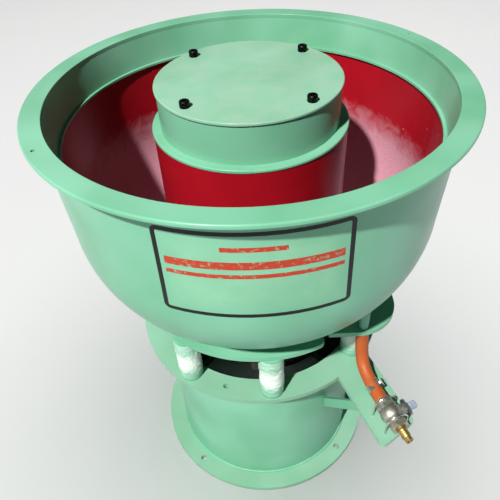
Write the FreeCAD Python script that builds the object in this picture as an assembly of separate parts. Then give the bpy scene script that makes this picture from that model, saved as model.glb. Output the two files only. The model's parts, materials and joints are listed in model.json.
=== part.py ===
import FreeCAD, Part
import math
import os

# Vibratory finishing bowl (rock tumbler), millimetres, +Z up.
# Origin: centre of the foot flange's underside. -Y is the front, with the painted panel and the drain on its right.
# "az" is an azimuth in degrees from the front (-Y), growing towards +X.

os.makedirs("parts", exist_ok=True)

# ---------------------------------------------------------------- driving dimensions
RIM_R = 280.0                 # outer radius of the rim flange
RIM_TOP = 698.0               # its height
RIM_T = 6.0
RIM_INNER_R = 253.6

SHELL_T = 5.0                 # bowl sheet
SHELL_TOP_R = 262.0           # outside of the wall under the rim
KNUCKLE_C = (84.0, 550.0)     # centre (r, z) of the bowl's round lower wall
KNUCKLE_R = 170.0
LINING_T = 9.0
TROUGH_FILLET = 40.0

COLUMN_R = 118.0
COLUMN_T = 5.0
LEDGE_Z = 648.0
LEDGE_T = 5.0
LEDGE_R = 128.0
CAP_R = 116.5
CAP_T = 3.0
COVER_R = 118.4
COVER_Z = 703.0
COVER_T = 4.0
COVER_BOLT_R = 103.0
COVER_BOLT_AZ = -46.0
COLLAR_Z = 649.0

MOUNT_Z = 378.0               # underside of the motor mounting ring
MOUNT_T = 12.0
MOUNT_HOLE_R = 82.0
MOTOR_BOLT_R = 97.0

FOOT_R = 197.0
FOOT_HOLE_PCD_R = 181.0
FOOT_HOLE_R = 5.5
FOOT_AZ = -42.5
PLATE_T = 8.0                 # foot, spring ring, arm and shoe plates
PEDESTAL_R = 165.0
PEDESTAL_T = 5.0
RING_TOP = 298.0
RING_R = 199.0
RING_INNER_R = 161.0
RING_HOLE_R = 4.0
RING_HOLE_AZ = -18.7

SPRING_PAIR_AZ = (-38.0, 3.8)  # the two springs under the front shoe; each other shoe has the same pair
SPRING_CIRCLE_R = 179.5
SLEEVE_R = 17.5
SLEEVE_T = 2.0
COIL_MEAN_R = 11.8
WIRE_R = 2.4
COIL_TURNS = 6.0
SEAT_T = 3.0
SHOE_BOTTOM = 385.0
SHOE_R = 193.0
SHOE_INNER_R = 132.0
SHOE_AZ = -14.5               # middle of the front shoe
SHOE_HALF = 42.5

DRAIN_XY = (146.0, -146.0)    # drain spigot under the bowl
HOSE_R = 9.5
HOSE_BORE_R = 7.3
HOSE_BEND_R = 55.0
ARM_AZ = 20.5                 # the valve arm's direction
VALVE_N = 80.0                # the valve's axis, measured across the arm from the machine's axis
VALVE_Z = 313.5

SHAFT_R = 12.5
ROTOR_R = 49.3
AXIS = FreeCAD.Vector(0, 0, 1)
CENTRE = FreeCAD.Vector(0, 0, 0)


# ---------------------------------------------------------------- helpers
def vec(x, y, z=0.0):
    return FreeCAD.Vector(x, y, z)


def at(r, az, z=0.0):
    a = math.radians(az)
    return vec(r * math.sin(a), -r * math.cos(a), z)


def keep(name, shape):
    if isinstance(shape, list):
        shape = Part.Compound(shape)
    shape.exportStep("parts/" + name + ".step")


def cylinder(r, z0, z1, centre=CENTRE):
    return Part.makeCylinder(r, z1 - z0, vec(centre.x, centre.y, z0))


def tube(r0, r1, z0, z1, centre=CENTRE):
    return cylinder(r1, z0, z1, centre).cut(cylinder(r0, z0 - 1, z1 + 1, centre))


def revolve(points):
    """A ring or a solid of revolution about Z from (r, z) corners."""
    corners = [vec(r, 0, z) for r, z in points]
    face = Part.Face(Part.makePolygon(corners + corners[:1]))
    return face.revolve(CENTRE, AXIS, 360)


def revolve_edges(edges):
    face = Part.Face(Part.Wire(Part.__sortEdges__(edges)))
    return face.revolve(CENTRE, AXIS, 360)


def rz(r, z):
    return vec(r, 0, z)


def line(a, b):
    return Part.LineSegment(a, b).toShape()


def arc(a, b, c):
    return Part.Arc(a, b, c).toShape()


def sector(r0, r1, z0, z1, az0, az1):
    """A flat ring segment between two azimuths."""
    middle = (az0 + az1) / 2
    edges = [
        arc(at(r1, az0, z0), at(r1, middle, z0), at(r1, az1, z0)),
        line(at(r1, az1, z0), at(r0, az1, z0)),
        arc(at(r0, az1, z0), at(r0, middle, z0), at(r0, az0, z0)),
        line(at(r0, az0, z0), at(r1, az0, z0)),
    ]
    return Part.Face(Part.Wire(edges)).extrude(vec(0, 0, z1 - z0))


def hexagon(across_flats, z0, z1, centre=CENTRE, turn=0.0):
    r = across_flats / math.sqrt(3)
    corners = []
    for i in range(7):
        a = math.radians(60 * i + turn)
        corners.append(vec(centre.x + r * math.cos(a), centre.y + r * math.sin(a), z0))
    return Part.Face(Part.makePolygon(corners)).extrude(vec(0, 0, z1 - z0))


def plate(points, z0, z1):
    corners = [vec(x, y, z0) for x, y in points]
    return Part.Face(Part.makePolygon(corners + corners[:1])).extrude(vec(0, 0, z1 - z0))


def vertical_fillet(shape, radius, wanted):
    """Rounds the upright edges whose place passes the test."""
    edges = []
    for edge in shape.Edges:
        ends = [v.Point for v in edge.Vertexes]
        if len(ends) != 2 or abs(ends[0].x - ends[1].x) > 1e-6 or abs(ends[0].y - ends[1].y) > 1e-6:
            continue
        if wanted(ends[0]):
            edges.append(edge)
    return shape.makeFillet(radius, edges)


def knuckle_z(r, radius):
    return KNUCKLE_C[1] - math.sqrt(radius ** 2 - (r - KNUCKLE_C[0]) ** 2)


def knuckle_mid(r0, r1, radius):
    """The point half-way along the round wall between two radii."""
    a0 = math.acos((r0 - KNUCKLE_C[0]) / radius)
    a1 = math.acos((r1 - KNUCKLE_C[0]) / radius)
    a = (a0 + a1) / 2
    return rz(KNUCKLE_C[0] + radius * math.cos(a), KNUCKLE_C[1] - radius * math.sin(a))


SPRING_PLACES = []
for i in range(4):
    for az in SPRING_PAIR_AZ:
        SPRING_PLACES.append(at(SPRING_CIRCLE_R, az + 90 * i))


# ---------------------------------------------------------------- base
def holes(r, z0, z1, circle, az0, count):
    return [cylinder(r, z0 - 1, z1 + 1, at(circle, az0 + i * 360 / count)) for i in range(count)]


def make_base():
    foot = tube(150, FOOT_R, 0, PLATE_T)
    for hole in holes(FOOT_HOLE_R, 0, PLATE_T, FOOT_HOLE_PCD_R, FOOT_AZ, 4):
        foot = foot.cut(hole)
    keep("foot_flange", foot)

    gland_z = 70.0
    pedestal = tube(PEDESTAL_R - PEDESTAL_T, PEDESTAL_R, PLATE_T, RING_TOP - PLATE_T)
    cable_hole = Part.makeCylinder(8.2, 30, vec(0, 150, gland_z), vec(0, 1, 0))
    keep("pedestal_shell", pedestal.cut(cable_hole))

    gland = Part.makeCylinder(8, 14, vec(0, 158, gland_z), vec(0, 1, 0))
    gland = gland.fuse(gland_nut(172, 5, 22, gland_z))
    gland = gland.fuse(gland_nut(180, 11, 19, gland_z)).fuse(
        Part.makeCylinder(9, 10, vec(0, 172, gland_z), vec(0, 1, 0)))
    bore = Part.makeCylinder(4.5, 50, vec(0, 150, gland_z), vec(0, 1, 0))
    seat = cylinder(PEDESTAL_R, gland_z - 20, gland_z + 20)
    shank = Part.makeCylinder(8, 10, vec(0, 157, gland_z), vec(0, 1, 0))
    keep("cable_gland", gland.cut(seat).fuse(shank).cut(bore).removeSplitter())

    ring = tube(RING_INNER_R, RING_R, RING_TOP - PLATE_T, RING_TOP)
    for hole in holes(RING_HOLE_R, RING_TOP - PLATE_T, RING_TOP, 180, RING_HOLE_AZ, 4):
        ring = ring.cut(hole)
    keep("spring_ring", ring)

    seats = []
    for place in SPRING_PLACES:
        seat = cylinder(SLEEVE_R, RING_TOP, RING_TOP + SEAT_T, place)
        seats.append(seat.fuse(cylinder(8.5, RING_TOP + SEAT_T, RING_TOP + 16, place)))
    keep("lower_spring_seats", seats)


def gland_nut(y, thickness, across_flats, z):
    nut = hexagon(across_flats, 0, thickness)
    nut.Placement = FreeCAD.Placement(vec(0, y, z), FreeCAD.Rotation(vec(1, 0, 0), -90))
    return nut


def make_springs():
    z0 = RING_TOP + SEAT_T
    z1 = SHOE_BOTTOM - SEAT_T
    free = z1 - z0 - 2 * WIRE_R
    coils = []
    for i, place in enumerate(SPRING_PLACES):
        keep("spring_sleeve_%d" % (i + 1), tube(SLEEVE_R - SLEEVE_T, SLEEVE_R, z0, z1, place))
        path = Part.makeHelix(free / COIL_TURNS, free, COIL_MEAN_R)
        start = Part.Wire(Part.makeCircle(WIRE_R, vec(COIL_MEAN_R, 0, 0), vec(0, 1, 0)))
        coil = Part.Wire(path).makePipeShell([start], True, True)
        coil.translate(vec(place.x, place.y, z0 + WIRE_R))
        coils.append(coil)
    keep("coil_springs", coils)


# ---------------------------------------------------------------- valve arm, valve and drain hose
ARM_D = at(1, ARM_AZ)                      # along the arm, outwards
ARM_N = vec(-ARM_D.y, ARM_D.x, 0)          # across it, to the right
VALVE_FRAME = FreeCAD.Placement(
    ARM_N * VALVE_N + vec(0, 0, VALVE_Z), FreeCAD.Rotation(AXIS, ARM_AZ - 90))


def on_arm(d, n):
    p = ARM_D * d + ARM_N * n
    return (p.x, p.y)


def along(r, x0, x1):
    """A rod on the valve's axis, in the valve's own frame."""
    return Part.makeCylinder(r, x1 - x0, vec(x0, 0, 0), vec(1, 0, 0))


def along_hex(across_flats, x0, x1):
    rod = hexagon(across_flats, 0, x1 - x0, turn=30)
    rod.Placement = FreeCAD.Placement(vec(x0, 0, 0), FreeCAD.Rotation(vec(0, 1, 0), 90))
    return rod


def revolve_along(points):
    """(x, r) corners turned about the valve's axis."""
    corners = [vec(x, r, 0) for x, r in points]
    face = Part.Face(Part.makePolygon(corners + corners[:1]))
    return face.revolve(CENTRE, vec(1, 0, 0), 360)


def set_in_valve(name, shape):
    solids = shape if isinstance(shape, list) else [shape]
    placed = []
    for solid in solids:
        moved = solid.copy()
        moved.Placement = VALVE_FRAME.multiply(moved.Placement)
        placed.append(moved)
    keep(name, placed if len(placed) > 1 else placed[0])


ARM_IN = 150.0
ARM_LEFT = 49.0
ARM_RIGHT = 111.0
ARM_END_LEFT = 317.0
ARM_END_RIGHT = 300.0
CLIP_X = (268.5, 299.5)                    # the two wire clips that hold the valve
CLIP_HALF = 16.6
CLIP_WIRE_R = 1.3
BALL_X = 285.0


def make_arm():
    z0 = RING_TOP - PLATE_T
    corners = [on_arm(ARM_IN, ARM_LEFT), on_arm(ARM_IN, ARM_RIGHT),
               on_arm(ARM_END_RIGHT, ARM_RIGHT), on_arm(ARM_END_LEFT, ARM_LEFT)]
    arm = plate(corners, z0, RING_TOP)
    arm = vertical_fillet(arm, 8, lambda p: p.dot(ARM_D) > 280)
    arm = arm.cut(cylinder(RING_R, z0 - 1, RING_TOP + 1))
    for x in CLIP_X:
        for side in (-CLIP_HALF, CLIP_HALF):
            place = ARM_D * x + ARM_N * (VALVE_N + side)
            arm = arm.cut(cylinder(CLIP_WIRE_R + 0.3, z0 - 1, RING_TOP + 1, place))
    keep("valve_arm", arm)

    foot = at(PEDESTAL_R - 1, 39.0, 175.0)
    top = ARM_D * 245 + ARM_N * 57 + vec(0, 0, z0)
    run = top - foot
    bar = Part.makeBox(run.Length + 30, 6, 15, vec(-10, -3, -7.5))
    flat = math.degrees(math.atan2(run.y, run.x))
    slope = math.degrees(math.asin(run.z / run.Length))
    turn = FreeCAD.Rotation(AXIS, flat).multiply(FreeCAD.Rotation(vec(0, 1, 0), -slope))
    bar.Placement = FreeCAD.Placement(foot, turn)
    bar = bar.cut(cylinder(PEDESTAL_R, 0, z0))
    bar = bar.common(Part.makeBox(400, 400, z0, vec(0, -400, 0)))
    keep("arm_brace", bar)


def smooth_path(points, radius):
    """Straight runs joined by tangent arcs of one radius."""
    edges = []
    start = points[0]
    length = 0.0
    for before, corner, after in zip(points, points[1:], points[2:]):
        into = (corner - before).normalize()
        out = (after - corner).normalize()
        half = into.getAngle(out) / 2
        back = radius * math.tan(half)
        a = corner - into * back
        b = corner + out * back
        bow = (out - into).normalize()
        middle = corner + bow * (radius / math.cos(half) - radius)
        edges += [line(start, a), arc(a, middle, b)]
        length += (a - start).Length + 2 * half * radius
        print("hose arc radius %.1f mm, turn %.1f degrees" % (radius, math.degrees(2 * half)))
        start = b
    edges.append(line(start, points[-1]))
    length += (points[-1] - start).Length
    return Part.Wire(edges), length


HOSE_END_X = 263.0


def make_hose():
    end = ARM_D * HOSE_END_X + ARM_N * VALVE_N + vec(0, 0, VALVE_Z)
    bend = ARM_D * 219.0 + ARM_N * VALVE_N + vec(0, 0, VALVE_Z)
    top = vec(DRAIN_XY[0], DRAIN_XY[1], SHOE_BOTTOM - 0.5)
    drop = vec(DRAIN_XY[0], DRAIN_XY[1], 350)
    path, length = smooth_path([top, drop, bend, end], HOSE_BEND_R)
    skin = path.makePipeShell([Part.Wire(Part.makeCircle(HOSE_R, top, AXIS))], True, True)
    bore = path.makePipeShell([Part.Wire(Part.makeCircle(HOSE_BORE_R, top, AXIS))], True, True)
    hose = skin.cut(bore)
    section = math.pi * (HOSE_R ** 2 - HOSE_BORE_R ** 2)
    print("hose length %.1f mm, volume %.0f against %.0f mm3" % (length, hose.Volume, section * length))
    keep("drain_hose", hose)

    clamp = along(HOSE_R + 1.0, 235, 246).cut(along(HOSE_R, 234, 247))
    housing = Part.makeBox(11, 5.5, 12, vec(235, HOSE_R + 0.6, -2))
    housing = housing.cut(along(HOSE_R, 234, 247))
    screw_bore = Part.makeCylinder(2.1, 20, vec(240.5, HOSE_R + 3.4, -6))
    tilt = FreeCAD.Placement(CENTRE, FreeCAD.Rotation(vec(1, 0, 0), 35))
    band = clamp.fuse(housing).cut(screw_bore).removeSplitter()
    band.Placement = tilt
    set_in_valve("hose_clamp_band", band)
    screw = Part.makeCylinder(2.0, 15, vec(240.5, HOSE_R + 3.4, -4.5))
    head = hexagon(7, 10.5, 15.5, vec(240.5, HOSE_R + 3.4, 0))
    slot = Part.makeBox(8, 1, 2, vec(236.5, HOSE_R + 2.9, 14.2))
    screw = screw.fuse(head).cut(slot)
    screw.Placement = tilt
    set_in_valve("hose_clamp_screw", screw)


def make_valve():
    bore = along(5.5, 220, 340)
    tail = [(228, 5.5), (228, 6.4), (232, 7.2), (232, 6.6), (236, 7.2), (236, 6.6), (240, 7.2), (240, 6.6),
            (262, 6.6), (262, 5.5)]
    tail = revolve_along(tail).fuse(along_hex(22, HOSE_END_X, 267))
    tail = tail.fuse(along(6.6, 262, 264)).fuse(along(9.0, 267, 273)).cut(bore)
    set_in_valve("hose_tail", tail.removeSplitter())

    ball = Part.makeSphere(15.3, vec(BALL_X, 0, 0))
    body = along(13, 267, 302).fuse(ball).fuse(along_hex(26.4, 271.5, 277))
    neck = Part.makeCylinder(8, 18.5, vec(BALL_X, 0, 0), vec(0, 1, 0))
    body = body.fuse(neck).cut(along(5.6, 260, 310)).cut(along(9.0, 266, 273))
    body = body.cut(Part.makeSphere(9.9, vec(BALL_X, 0, 0))).cut(along(9.0, 276, BALL_X))
    body = body.cut(along(9.9, BALL_X, 303)).cut(Part.makeCylinder(3.05, 40, vec(BALL_X, 0, 0), vec(0, 1, 0)))
    set_in_valve("valve_body", body.removeSplitter())

    cap = along(9.85, 294, 302).fuse(along_hex(24, 302, 309)).cut(bore)
    set_in_valve("valve_end_cap", cap.cut(along(6.6, 303, 310)).removeSplitter())

    nozzle = [(303, 4.2), (303, 6.6), (309, 6.6), (309, 7.6), (312, 7.6), (312, 5.6)]
    for i in range(4):
        x = 312 + 3 * i
        nozzle += [(x + 0.5, 6.6), (x + 1.2, 6.6), (x + 3, 5.6)]
    nozzle += [(330, 5.6), (330, 4.2)]
    set_in_valve("outlet_nozzle", revolve_along(nozzle))

    ball = Part.makeSphere(9.5, vec(BALL_X, 0, 0)).cut(along(5.5, 270, 300))
    key = Part.makeBox(10, 3, 3, vec(BALL_X - 5, 8, -1.5))
    set_in_valve("valve_ball", ball.cut(key).removeSplitter())

    stem = Part.makeCylinder(3.0, 20, vec(BALL_X, 9.6, 0), vec(0, 1, 0))
    tang = Part.makeBox(5.4, 1.6, 2.8, vec(BALL_X - 2.7, 8.1, -1.4))
    set_in_valve("valve_stem", stem.fuse(tang).removeSplitter())

    packing = hexagon(14, 0, 4)
    packing.Placement = FreeCAD.Placement(vec(BALL_X, 18.5, 0), FreeCAD.Rotation(vec(1, 0, 0), -90))
    packing = packing.cut(Part.makeCylinder(3.05, 20, vec(BALL_X, 10, 0), vec(0, 1, 0)))
    set_in_valve("packing_nut", packing)

    wing = Part.makeBox(26, 3.4, 9, vec(BALL_X - 13, 23.2, -4.5))
    wing = wing.makeFillet(3.0, [e for e in wing.Edges if abs(e.CenterOfMass.y - 24.9) < 0.1])
    tab = Part.makeBox(9, 13.5, 7, vec(BALL_X - 4.5, 26.0, -3.5))
    handle = wing.fuse(tab).cut(Part.makeCylinder(3.0, 6.4, vec(BALL_X, 23.2, 0), vec(0, 1, 0)))
    set_in_valve("valve_handle", handle.removeSplitter())


def make_clips():
    drop = RING_TOP - VALVE_Z - 14
    clips = []
    nuts = []
    for x in CLIP_X:
        crown = CLIP_HALF
        left = vec(x, -CLIP_HALF, 0)
        right = vec(x, CLIP_HALF, 0)
        path = Part.Wire([
            line(vec(x, -CLIP_HALF, drop), left),
            arc(left, vec(x, 0, crown), right),
            line(right, vec(x, CLIP_HALF, drop)),
        ])
        section = Part.Wire(Part.makeCircle(CLIP_WIRE_R, vec(x, -CLIP_HALF, drop), AXIS))
        clips.append(path.makePipeShell([section], True, True))
        for side in (-CLIP_HALF, CLIP_HALF):
            low = RING_TOP - PLATE_T - VALVE_Z
            nut = hexagon(5.5, low - 3, low, vec(x, side, 0))
            nuts.append(nut.cut(cylinder(CLIP_WIRE_R, low - 5, low + 1, vec(x, side, 0))))
    set_in_valve("valve_clips", clips)
    set_in_valve("clip_nuts", nuts)


# ---------------------------------------------------------------- bowl
def wall_r(z, radius):
    """Radius at height z of the tapered upper wall that is offset with the round one."""
    slope = (SHELL_TOP_R - KNUCKLE_C[0] - KNUCKLE_R) / (RIM_TOP - RIM_T - KNUCKLE_C[1])
    return KNUCKLE_C[0] + radius + slope * (z - KNUCKLE_C[1])


def make_shell():
    top = RIM_TOP - RIM_T
    out_r = KNUCKLE_R
    in_r = KNUCKLE_R - SHELL_T
    c_r, c_z = KNUCKLE_C
    edges = [
        line(rz(wall_r(top, out_r), top), rz(c_r + out_r, c_z)),
        arc(rz(c_r + out_r, c_z), knuckle_mid(c_r + out_r, COLUMN_R, out_r),
            rz(COLUMN_R, knuckle_z(COLUMN_R, out_r))),
        line(rz(COLUMN_R, knuckle_z(COLUMN_R, out_r)), rz(COLUMN_R, knuckle_z(COLUMN_R, in_r))),
        arc(rz(COLUMN_R, knuckle_z(COLUMN_R, in_r)), knuckle_mid(c_r + in_r, COLUMN_R, in_r),
            rz(c_r + in_r, c_z)),
        line(rz(c_r + in_r, c_z), rz(wall_r(top, in_r), top)),
        line(rz(wall_r(top, in_r), top), rz(wall_r(top, out_r), top)),
    ]
    drain = cylinder(7.05, 380, 470, vec(*DRAIN_XY))
    keep("bowl_shell", revolve_edges(edges).cut(drain))

    rim = tube(RIM_INNER_R, RIM_R, top, RIM_TOP)
    for az in (-60.0, 120.0):
        rim = rim.cut(cylinder(2.75, top - 1, RIM_TOP + 1, at(270.5, az)))
    edge = [e for e in rim.Edges if abs(e.BoundBox.XMax - RIM_R) < 0.01 and e.Length > 1000]
    keep("rim_flange", rim.makeFillet(1.5, edge))

    keep("rim_collar", revolve([
        (RIM_INNER_R, top), (RIM_INNER_R + 3, top), (249.6, COLLAR_Z + 3), (249.6, COLLAR_Z),
        (242.0, COLLAR_Z), (242.0, COLLAR_Z + 3), (246.4, COLLAR_Z + 3),
    ]))


def strainer_disc(radius, depth, thickness):
    """A disc set square into the lining's round wall at the drain."""
    r = math.hypot(*DRAIN_XY)
    inner_r = KNUCKLE_R - SHELL_T - LINING_T
    z = knuckle_z(r, inner_r)
    inwards = math.degrees(math.atan2(KNUCKLE_C[0] - r, KNUCKLE_C[1] - z))
    az = math.degrees(math.atan2(DRAIN_XY[0], -DRAIN_XY[1]))
    disc = Part.makeCylinder(radius, thickness, vec(0, 0, -depth))
    turn = FreeCAD.Rotation(AXIS, az - 90).multiply(FreeCAD.Rotation(vec(0, 1, 0), inwards))
    disc.Placement = FreeCAD.Placement(vec(DRAIN_XY[0], DRAIN_XY[1], z), turn)
    return disc


def make_lining():
    c_r, c_z = KNUCKLE_C
    shell_in = KNUCKLE_R - SHELL_T
    face_in = shell_in - LINING_T
    column = COLUMN_R + LINING_T
    fillet_r = column + TROUGH_FILLET
    reach = face_in - TROUGH_FILLET
    fillet_z = c_z - math.sqrt(reach ** 2 - (fillet_r - c_r) ** 2)
    meet = (c_r + (fillet_r - c_r) * face_in / reach, c_z + (fillet_z - c_z) * face_in / reach)
    turn = math.atan2(fillet_z - c_z, fillet_r - c_r)
    mid_a = (turn - math.pi) / 2
    fillet_mid = rz(fillet_r + TROUGH_FILLET * math.cos(mid_a), fillet_z + TROUGH_FILLET * math.sin(mid_a))
    z_foot = knuckle_z(COLUMN_R, shell_in)
    edges = [
        line(rz(COLUMN_R, LEDGE_Z), rz(column, LEDGE_Z)),
        line(rz(column, LEDGE_Z), rz(column, fillet_z)),
        arc(rz(column, fillet_z), fillet_mid, rz(*meet)),
        arc(rz(*meet), knuckle_mid(meet[0], c_r + face_in, face_in), rz(c_r + face_in, c_z)),
        line(rz(c_r + face_in, c_z), rz(wall_r(COLLAR_Z, face_in), COLLAR_Z)),
        line(rz(wall_r(COLLAR_Z, face_in), COLLAR_Z), rz(wall_r(COLLAR_Z, shell_in), COLLAR_Z)),
        line(rz(wall_r(COLLAR_Z, shell_in), COLLAR_Z), rz(c_r + shell_in, c_z)),
        arc(rz(c_r + shell_in, c_z), knuckle_mid(c_r + shell_in, COLUMN_R, shell_in), rz(COLUMN_R, z_foot)),
        line(rz(COLUMN_R, z_foot), rz(COLUMN_R, LEDGE_Z)),
    ]
    lining = revolve_edges(edges)
    drain = cylinder(7.05, 400, 450, vec(*DRAIN_XY))
    lining = lining.cut(drain).cut(strainer_disc(22.1, 3.6, 20)).cut(strainer_disc(16, 6.5, 8))
    keep("bowl_lining", lining)

    strainer = strainer_disc(22, 3.6, 3)
    hole = strainer_disc(1.5, 5, 8)
    up = hole.Placement.Rotation.multVec(AXIS)
    across = hole.Placement.Rotation.multVec(vec(1, 0, 0))
    for ring, count in ((0, 1), (6, 6), (12, 12)):
        for i in range(count):
            drill = hole.copy()
            drill.translate(FreeCAD.Rotation(up, 360 * i / count).multVec(across) * ring)
            strainer = strainer.cut(drill)
    keep("drain_strainer", strainer)


def envelope():
    """Everything inside the bowl's outer face, for trimming what is welded to it."""
    c_r, c_z = KNUCKLE_C
    z = knuckle_z(100, KNUCKLE_R)
    edges = [
        line(rz(0, c_z), rz(c_r + KNUCKLE_R, c_z)),
        arc(rz(c_r + KNUCKLE_R, c_z), knuckle_mid(c_r + KNUCKLE_R, 100, KNUCKLE_R), rz(100, z)),
        line(rz(100, z), rz(0, z)),
        line(rz(0, z), rz(0, c_z)),
    ]
    return revolve_edges(edges)


def right_shoe_plate(z0, z1):
    """The shoe over the drain: deeper than the others, with one large round corner at the front."""
    front = -157.0
    side = 199.0
    corner = 60.0
    back = 80.0
    left = 96.0
    middle = corner * math.sqrt(0.5)
    edges = [
        line(vec(left, front, z0), vec(side - corner, front, z0)),
        arc(vec(side - corner, front, z0),
            vec(side - corner + middle, front + corner - middle, z0),
            vec(side, front + corner, z0)),
        line(vec(side, front + corner, z0), vec(side, back, z0)),
        line(vec(side, back, z0), vec(60, back, z0)),
        line(vec(60, back, z0), vec(60, -60, z0)),
        line(vec(60, -60, z0), vec(left, front, z0)),
    ]
    block = Part.Face(Part.Wire(edges)).extrude(vec(0, 0, z1 - z0))
    block = vertical_fillet(block, 12, lambda p: p.x > 190 and p.y > 70)
    start = SHOE_AZ + 90 - SHOE_HALF + 6
    wing = sector(SHOE_INNER_R, SHOE_R, z0, z1, start, SHOE_AZ + 90 + SHOE_HALF)
    inside = cylinder(SHOE_INNER_R, z0 - 1, z1 + 1)
    return block.cut(inside).fuse(wing).removeSplitter()


def make_shoes():
    z0 = SHOE_BOTTOM
    z1 = z0 + PLATE_T
    solid_bowl = envelope()
    names = ("shoe_front", "shoe_right", "shoe_rear", "shoe_left")
    for i, name in enumerate(names):
        if name == "shoe_right":
            shoe = right_shoe_plate(z0, z1)
            shoe = shoe.cut(cylinder(7.2, z0 - 1, z1 + 1, vec(*DRAIN_XY)))
        else:
            middle = SHOE_AZ + 90 * i
            shoe = sector(SHOE_INNER_R, SHOE_R, z0, z1, middle - SHOE_HALF, middle + SHOE_HALF)
            shoe = vertical_fillet(shoe, 9, lambda p: math.hypot(p.x, p.y) > SHOE_R - 1)
        keep(name, shoe.cut(solid_bowl))

    seats = []
    for place in SPRING_PLACES:
        seat = cylinder(SLEEVE_R, z0 - SEAT_T, z0, place)
        seats.append(seat.fuse(cylinder(8.5, z0 - 16, z0 - SEAT_T, place)))
    keep("upper_spring_seats", seats)

    keep("drain_spigot", tube(5, 7, 371, 438, vec(*DRAIN_XY)))


def make_column():
    keep("motor_mount_ring", motor_mount_ring())
    keep("centre_column", tube(COLUMN_R - COLUMN_T, COLUMN_R, MOUNT_Z + MOUNT_T, LEDGE_Z))
    ledge = tube(104, LEDGE_R, LEDGE_Z, LEDGE_Z + LEDGE_T)
    edge = [e for e in ledge.Edges if abs(e.BoundBox.XMax - LEDGE_R) < 0.01 and e.Length > 500]
    keep("column_ledge", ledge.makeFillet(1.5, edge))

    z0 = LEDGE_Z + LEDGE_T
    cap = tube(CAP_R - CAP_T, CAP_R, z0, COVER_Z)
    bolt_places = [at(COVER_BOLT_R, COVER_BOLT_AZ + 90 * i) for i in range(4)]
    for place in bolt_places:
        lug = cylinder(12, COVER_Z - 18, COVER_Z, place).common(cylinder(CAP_R - 1, z0, COVER_Z))
        cap = cap.fuse(lug)
    for place in bolt_places:
        cap = cap.cut(cylinder(4, COVER_Z - 20, COVER_Z + 1, place))
    keep("column_cap", cap.removeSplitter())

    cover = cylinder(COVER_R, COVER_Z, COVER_Z + COVER_T)
    for place in bolt_places:
        cover = cover.cut(cylinder(4, COVER_Z - 1, COVER_Z + COVER_T + 1, place))
    edge = [e for e in cover.Edges if abs(e.BoundBox.XMax - COVER_R) < 0.01 and e.Length > 500]
    keep("cover_plate", cover.makeFillet(1.0, edge))

    bolts = []
    top = COVER_Z + COVER_T
    for place in bolt_places:
        head = cylinder(6.3, top, top + 8, place)
        head = head.makeChamfer(0.6, [e for e in head.Edges if e.BoundBox.ZMin > top + 7.9])
        bolt = head.fuse(cylinder(4, COVER_Z - 16, top, place))
        bolts.append(bolt.cut(hexagon(6, top + 4, top + 9, place)))
    keep("cover_bolts", bolts)


def motor_mount_ring():
    ring = tube(MOUNT_HOLE_R, COLUMN_R, MOUNT_Z, MOUNT_Z + MOUNT_T)
    for hole in holes(5, MOUNT_Z, MOUNT_Z + MOUNT_T, MOTOR_BOLT_R, 0, 6):
        ring = ring.cut(hole)
    return ring


# ---------------------------------------------------------------- motor and eccentric weights
FRAME_R = 80.0
FRAME_BORE_R = 73.0
FRAME_TOP = 600.0
STACK = (440.0, 540.0)
BEARING_R = 31.0
BEARING_W = 16.0
LOWER_BEARING_Z = 352.0
UPPER_BEARING_Z = 604.0
FLANGE_T = 12.0


def make_motor():
    flange_z = MOUNT_Z - FLANGE_T
    flange = revolve([
        (14, 347), (42, 347), (42, flange_z), (105, flange_z), (105, MOUNT_Z), (FRAME_BORE_R, MOUNT_Z),
        (FRAME_BORE_R, MOUNT_Z + 5), (FRAME_BORE_R - 6, MOUNT_Z + 5), (FRAME_BORE_R - 6, MOUNT_Z),
        (BEARING_R, MOUNT_Z), (BEARING_R, LOWER_BEARING_Z), (14, LOWER_BEARING_Z),
    ])
    for hole in holes(5, flange_z, MOUNT_Z, MOTOR_BOLT_R, 0, 6):
        flange = flange.cut(hole)
    keep("motor_flange", flange)

    bolts = []
    for i in range(6):
        place = at(MOTOR_BOLT_R, 60 * i)
        head = hexagon(17, flange_z - 6.4, flange_z, place)
        nut = hexagon(17, MOUNT_Z + MOUNT_T, MOUNT_Z + MOUNT_T + 8, place)
        bolts.append(head.fuse(cylinder(5, flange_z, MOUNT_Z + MOUNT_T + 12, place)).fuse(nut))
    keep("motor_bolts", bolts)

    frame = tube(FRAME_BORE_R, FRAME_R, MOUNT_Z, FRAME_TOP)
    keep("motor_frame", frame)

    top = UPPER_BEARING_Z + BEARING_W
    keep("motor_top_shield", revolve([
        (BEARING_R, FRAME_TOP), (FRAME_R, FRAME_TOP), (FRAME_R, FRAME_TOP + 8), (42, FRAME_TOP + 12), (42, top + 5),
        (14, top + 5), (14, top), (BEARING_R, top),
    ]))

    z0, z1 = STACK
    keep("stator_core", tube(ROTOR_R + 0.7, FRAME_BORE_R, z0, z1))
    windings = []
    for low, high in ((z0 - 26, z0), (z1, z1 + 26)):
        ring = tube(ROTOR_R + 3, FRAME_BORE_R - 4, low, high)
        far = low if low < z0 else high
        edges = [e for e in ring.Edges if abs(e.BoundBox.ZMin - far) < 0.01 and abs(e.BoundBox.ZMax - far) < 0.01]
        windings.append(ring.makeFillet(7, edges))
    keep("stator_windings", windings)

    outer = []
    inner = []
    for z in (LOWER_BEARING_Z, UPPER_BEARING_Z):
        outer.append(tube(26.5, BEARING_R, z, z + BEARING_W))
        inner.append(tube(SHAFT_R, 17.5, z, z + BEARING_W))
        for i in range(8):
            inner.append(Part.makeSphere(4.4, at(22, 45 * i, z + BEARING_W / 2)))
    keep("bearing_outer_rings", outer)
    keep("bearing_inner_rings", inner)


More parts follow.
